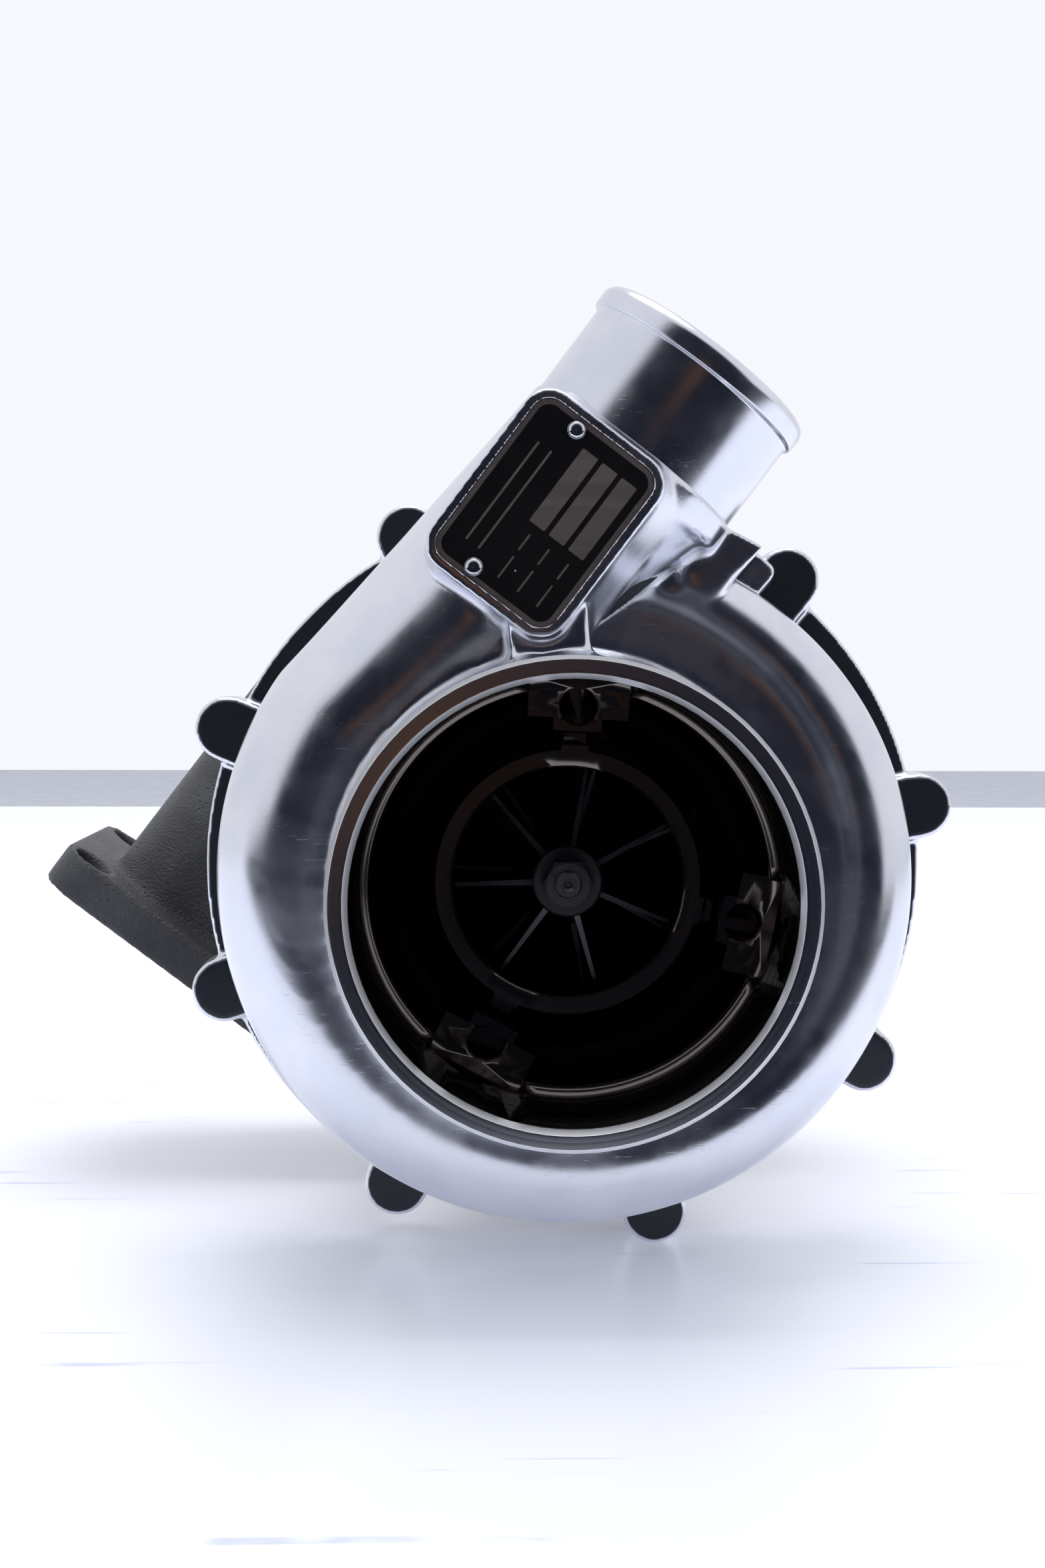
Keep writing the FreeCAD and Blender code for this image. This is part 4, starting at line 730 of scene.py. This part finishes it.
label = {
    "edge": 0.12, "border": 1.1, "sunk": 0.06, "base": 0.02,
    "rows": 3, "rowStep": -5.0, "rowStart": -0.2, "fieldShift": 6.2, "field": (18.5, 3.9), "fieldLift": 0.05,
    "dashes": ((5.5, -13.6), (4.0, -7.3)), "dashWidth": 0.45, "ruleLift": 0.045,
    "rules": (6.6, 9.8), "ruleShift": -1.5, "rule": (25.0, 0.5),
    "rivetAlong": 17.6, "rivetAcross": 5.1, "shank": (1.0, 4.0), "head": 1.95, "headRise": 1.15,
}


def namePlate():
    blank = prism("nameplate_blank", plateLoop(plate["front"] + plate["thick"], 0), -shaft * plate["thick"])
    bevel = blank.modifiers.new("edge", "BEVEL")
    bevel.width, bevel.segments, bevel.limit_method = label["edge"] * mm, 3, "ANGLE"
    settle(blank)
    place(crisp(blank), materials["plate"], "housing", "plate_enamel", "nameplate")
    face = prism("nameplate_enamel", plateLoop(plate["front"] + label["base"], -label["border"]),
                 -shaft * (label["sunk"] + label["base"]))
    place(crisp(face), materials["enamel"], "housing", "plate_enamel")


def raisedBar(along, across, length, width, corner, lift):
    base = outletPoint(plate["along"] + along, plate["across"] + across,
                       plate["front"] - label["sunk"] + label["base"])
    return prism("bar", roundedLoop(base, outletWay, outletSide, length, width, corner, 3), -shaft * lift)


def plateFields():
    # three blank fields, each after two dashes, and two plain rules above them
    bars = []
    for row in range(label["rows"]):
        across = label["rowStart"] + label["rowStep"] * row
        bars.append(raisedBar(label["fieldShift"], across, *label["field"], 0.3, label["fieldLift"]))
        for length, along in label["dashes"]:
            bars.append(raisedBar(along, across, length, label["dashWidth"], 0.2, label["ruleLift"]))
    for across in label["rules"]:
        bars.append(raisedBar(label["ruleShift"], across, *label["rule"], 0.2, label["ruleLift"]))
    place(crisp(merge("nameplate_fields", bars)), materials["plate"], "housing", "plate_enamel")


def rivetHeads():
    shank, depth = label["shank"]
    outline = [(0, depth), (shank, depth), (shank, 0.1), (1.9, 0.1)] + arc((1.75, 0.0), 0.2, 0, -80, 4)
    for tilt in (math.radians(angle) for angle in (20, 35, 50, 65, 80)):
        outline.append((label["head"] * math.cos(tilt) ** 0.9, -0.2 - label["headRise"] * math.sin(tilt)))
    outline.append((0, -1.38))
    domes = []
    for end in (1, -1):
        centre = outletPoint(plate["along"] + end * label["rivetAlong"],
                             plate["across"] + label["rivetAcross"], plate["front"])
        domes.append(lathe("dome", outline, 64, shaft, centre))
    place(crisp(merge("nameplate_rivet_heads", domes), 50), materials["rivet"], "housing",
          "rivet_steel", "nameplate_rivets")


namePlate()
plateFields()
rivetHeads()
print("name plate made")


# The iron castings, from the frame's own solids.

def ironCasting(node, name, voxel, passes, material, slotName):
    piece = cast(copyNode(name, node), voxel, passes, lambda points: np.ones(len(points)))
    place(piece, material, "housing", slotName, node)
    print(name, len(piece.data.polygons), "faces")


ironCasting("turbine_housing", "turbine_casting", 0.9, 8, materials["darkIron"], "dark_iron")
ironCasting("bearing_housing", "centre_casting", 0.7, 6, materials["greyIron"], "grey_iron")


# The other sub-parts keep their own meshes.

finishes = {
    # the compressor wheel takes the aluminium painted dark grey as shade
    "shadedWheel": ["compressor_wheel"],
    "turned": ["back_plate"],
    "steel": ["turbine_shaft", "oil_flinger", "thrust_collar", "thrust_pins"],
    "darkSteel": ["wheel_locknut", "back_plate_screws", "compressor_clamps", "cover_bolts",
                  "bearing_snap_rings", "compressor_piston_ring", "turbine_piston_ring",
                  "turbine_clamps", "turbine_bolts"],
    "alloy": ["turbine_wheel", "heat_shield"],
    "bronze": ["thrust_bearing", "front_journal_bearing", "rear_journal_bearing"],
    "rubber": ["cover_oring", "back_plate_oring"],
}
for finish, names in finishes.items():
    for name in names:
        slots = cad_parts[name].material_slots
        slots[0].link = "OBJECT"
        slots[0].material = materials[finish]
print("frame nodes painted")


# Studio: floor, sky and camera. Lengths here are in metres, apart from the gap under the part.

studio = {
    "floorSize": 1.4, "gap": 0.02, "floorColour": (0.86, 0.88, 0.97, 1), "floorMark": (0.55, 0.60, 0.78, 1),
    "floorRough": 0.28, "floorGlow": 0.22, "floorEnd": -0.112, "floorFade": 0.02,
    "white": (0.84, 0.85, 0.89, 1), "background": (0.93, 0.94, 0.99, 1), "dark": (0.012, 0.014, 0.024, 1),
    "darkEdges": (56.0, 44.0), "warm": (0.20, 0.095, 0.04, 1), "warmWay": (-5.0, -9.0),
    "warmEdges": (11.0, 4.0), "edgeEnd": 1.9, "edgeColour": (0.56, 0.58, 0.66, 1),
    "edgeLight": (0.62, 0.64, 0.72, 1),
    "topLamp": {"centre": (0.0, 0.25, 1.3), "target": (0, 0.08, 0), "size": 1.0, "power": 9.0},
}


def floorMaterial():
    material, tree, shader, where = startMaterial("floor")
    marks = useGroup(tree, "scratches", {"Place": where, "Length": 9.0, "Amount": 1.0})
    colour = blendColour(tree, marks["Scratch"], studio["floorColour"], studio["floorMark"])
    tree.links.new(colour, shader.inputs["Base Color"])
    shader.inputs["Roughness"].default_value = studio["floorRough"]
    ray = put(tree, "ShaderNodeLightPath").outputs
    station = put(tree, "ShaderNodeSeparateXYZ", {0: where}).outputs[1]
    # in reflections the floor is dark from floorEnd towards the camera
    ahead = ramp(tree, station, studio["floorEnd"], studio["floorEnd"] - studio["floorFade"])
    hidden = calc(tree, "MULTIPLY", ahead, ray["Is Glossy Ray"])
    dark = put(tree, "ShaderNodeEmission", {"Color": studio["dark"]})
    shader.inputs["Emission Color"].default_value = studio["floorColour"]
    shader.inputs["Emission Strength"].default_value = studio["floorGlow"]
    mix = put(tree, "ShaderNodeMixShader", {0: hidden, 1: shader.outputs[0], 2: dark.outputs[0]})
    tree.links.new(mix.outputs[0], tree.nodes["Material Output"].inputs["Surface"])
    return material


def makeSheet(name, half, near, far, material):
    level = cadBox[0].z / mm - studio["gap"]
    places = ((-half, near), (half, near), (half, far), (-half, far))
    corners = [Vector((x / mm, y / mm, level)) for x, y in places]
    sheet = makePiece(name, corners, [(0, 1, 2, 3)])
    sheet.data.materials.append(material)


def floorEdgeMaterial():
    material, tree, shader, where = startMaterial("floorEdge")
    skin = useGroup(tree, "castSkin", {"Place": where, "Grain": 5.0, "Pits": 0.0})
    tree.links.new(blendColour(tree, skin["Mottle"], studio["edgeColour"], studio["edgeLight"]),
                   shader.inputs["Base Color"])
    shader.inputs["Roughness"].default_value = 0.7
    return material


def makeSky():
    world = bpy.data.worlds.new("studio")
    bpy.context.scene.world = world
    world.use_nodes = True
    tree = world.node_tree
    way = put(tree, "ShaderNodeTexCoord").outputs["Generated"]

    def patch(direction, edges):
        near = put(tree, "ShaderNodeVectorMath", {0: way, 1: direction}, operation="DOT_PRODUCT")
        wide, narrow = (math.cos(math.radians(edge)) for edge in edges)
        return ramp(tree, near.outputs["Value"], wide, narrow)

    side, up = (math.radians(angle) for angle in studio["warmWay"])
    warmWay = (math.sin(side), -math.cos(side) * math.cos(up), math.sin(up))
    colour = blendColour(tree, patch((0, -1, 0), studio["darkEdges"]), studio["white"], studio["dark"])
    colour = blendColour(tree, patch(warmWay, studio["warmEdges"]), colour, studio["warm"])
    ray = put(tree, "ShaderNodeLightPath").outputs["Is Camera Ray"]
    colour = blendColour(tree, ray, colour, studio["background"])
    light = tree.nodes["Background"]
    tree.links.new(colour, light.inputs["Color"])
    light.inputs["Strength"].default_value = 1.0


def makeCamera():
    view = {"lens": 50.0, "sensor": 36.0, "place": (-15.9, -437.2, 54.6), "pitch": -3.90,
            "roll": -0.12, "yaw": -0.69}
    data = bpy.data.cameras.new("camera")
    data.lens, data.sensor_width = view["lens"], view["sensor"]
    data.clip_start, data.clip_end = 0.01, 20
    camera = bpy.data.objects.new("camera", data)
    camera.location = Vector(view["place"]) * mm
    camera.rotation_euler = (math.radians(90 + view["pitch"]), math.radians(view["roll"]),
                             math.radians(view["yaw"]))
    bpy.context.scene.collection.objects.link(camera)
    bpy.context.scene.camera = camera


def makeLamp(name, centre, target, size, power):
    data = bpy.data.lights.new(name, "AREA")
    data.shape, data.size, data.energy = "DISK", size, power
    lamp = bpy.data.objects.new(name, data)
    lamp.location = centre
    lamp.rotation_euler = (Vector(target) - Vector(centre)).to_track_quat("-Z", "Y").to_euler()
    bpy.context.scene.collection.objects.link(lamp)


size = studio["floorSize"]
makeSheet("floor", size, -size, size, floorMaterial())
makeSheet("floor_edge", 2 * size, size, studio["edgeEnd"], floorEdgeMaterial())
makeSky()
makeCamera()
makeLamp("topLamp", **studio["topLamp"])
bpy.context.scene.view_settings.view_transform = "Standard"
print("studio made")
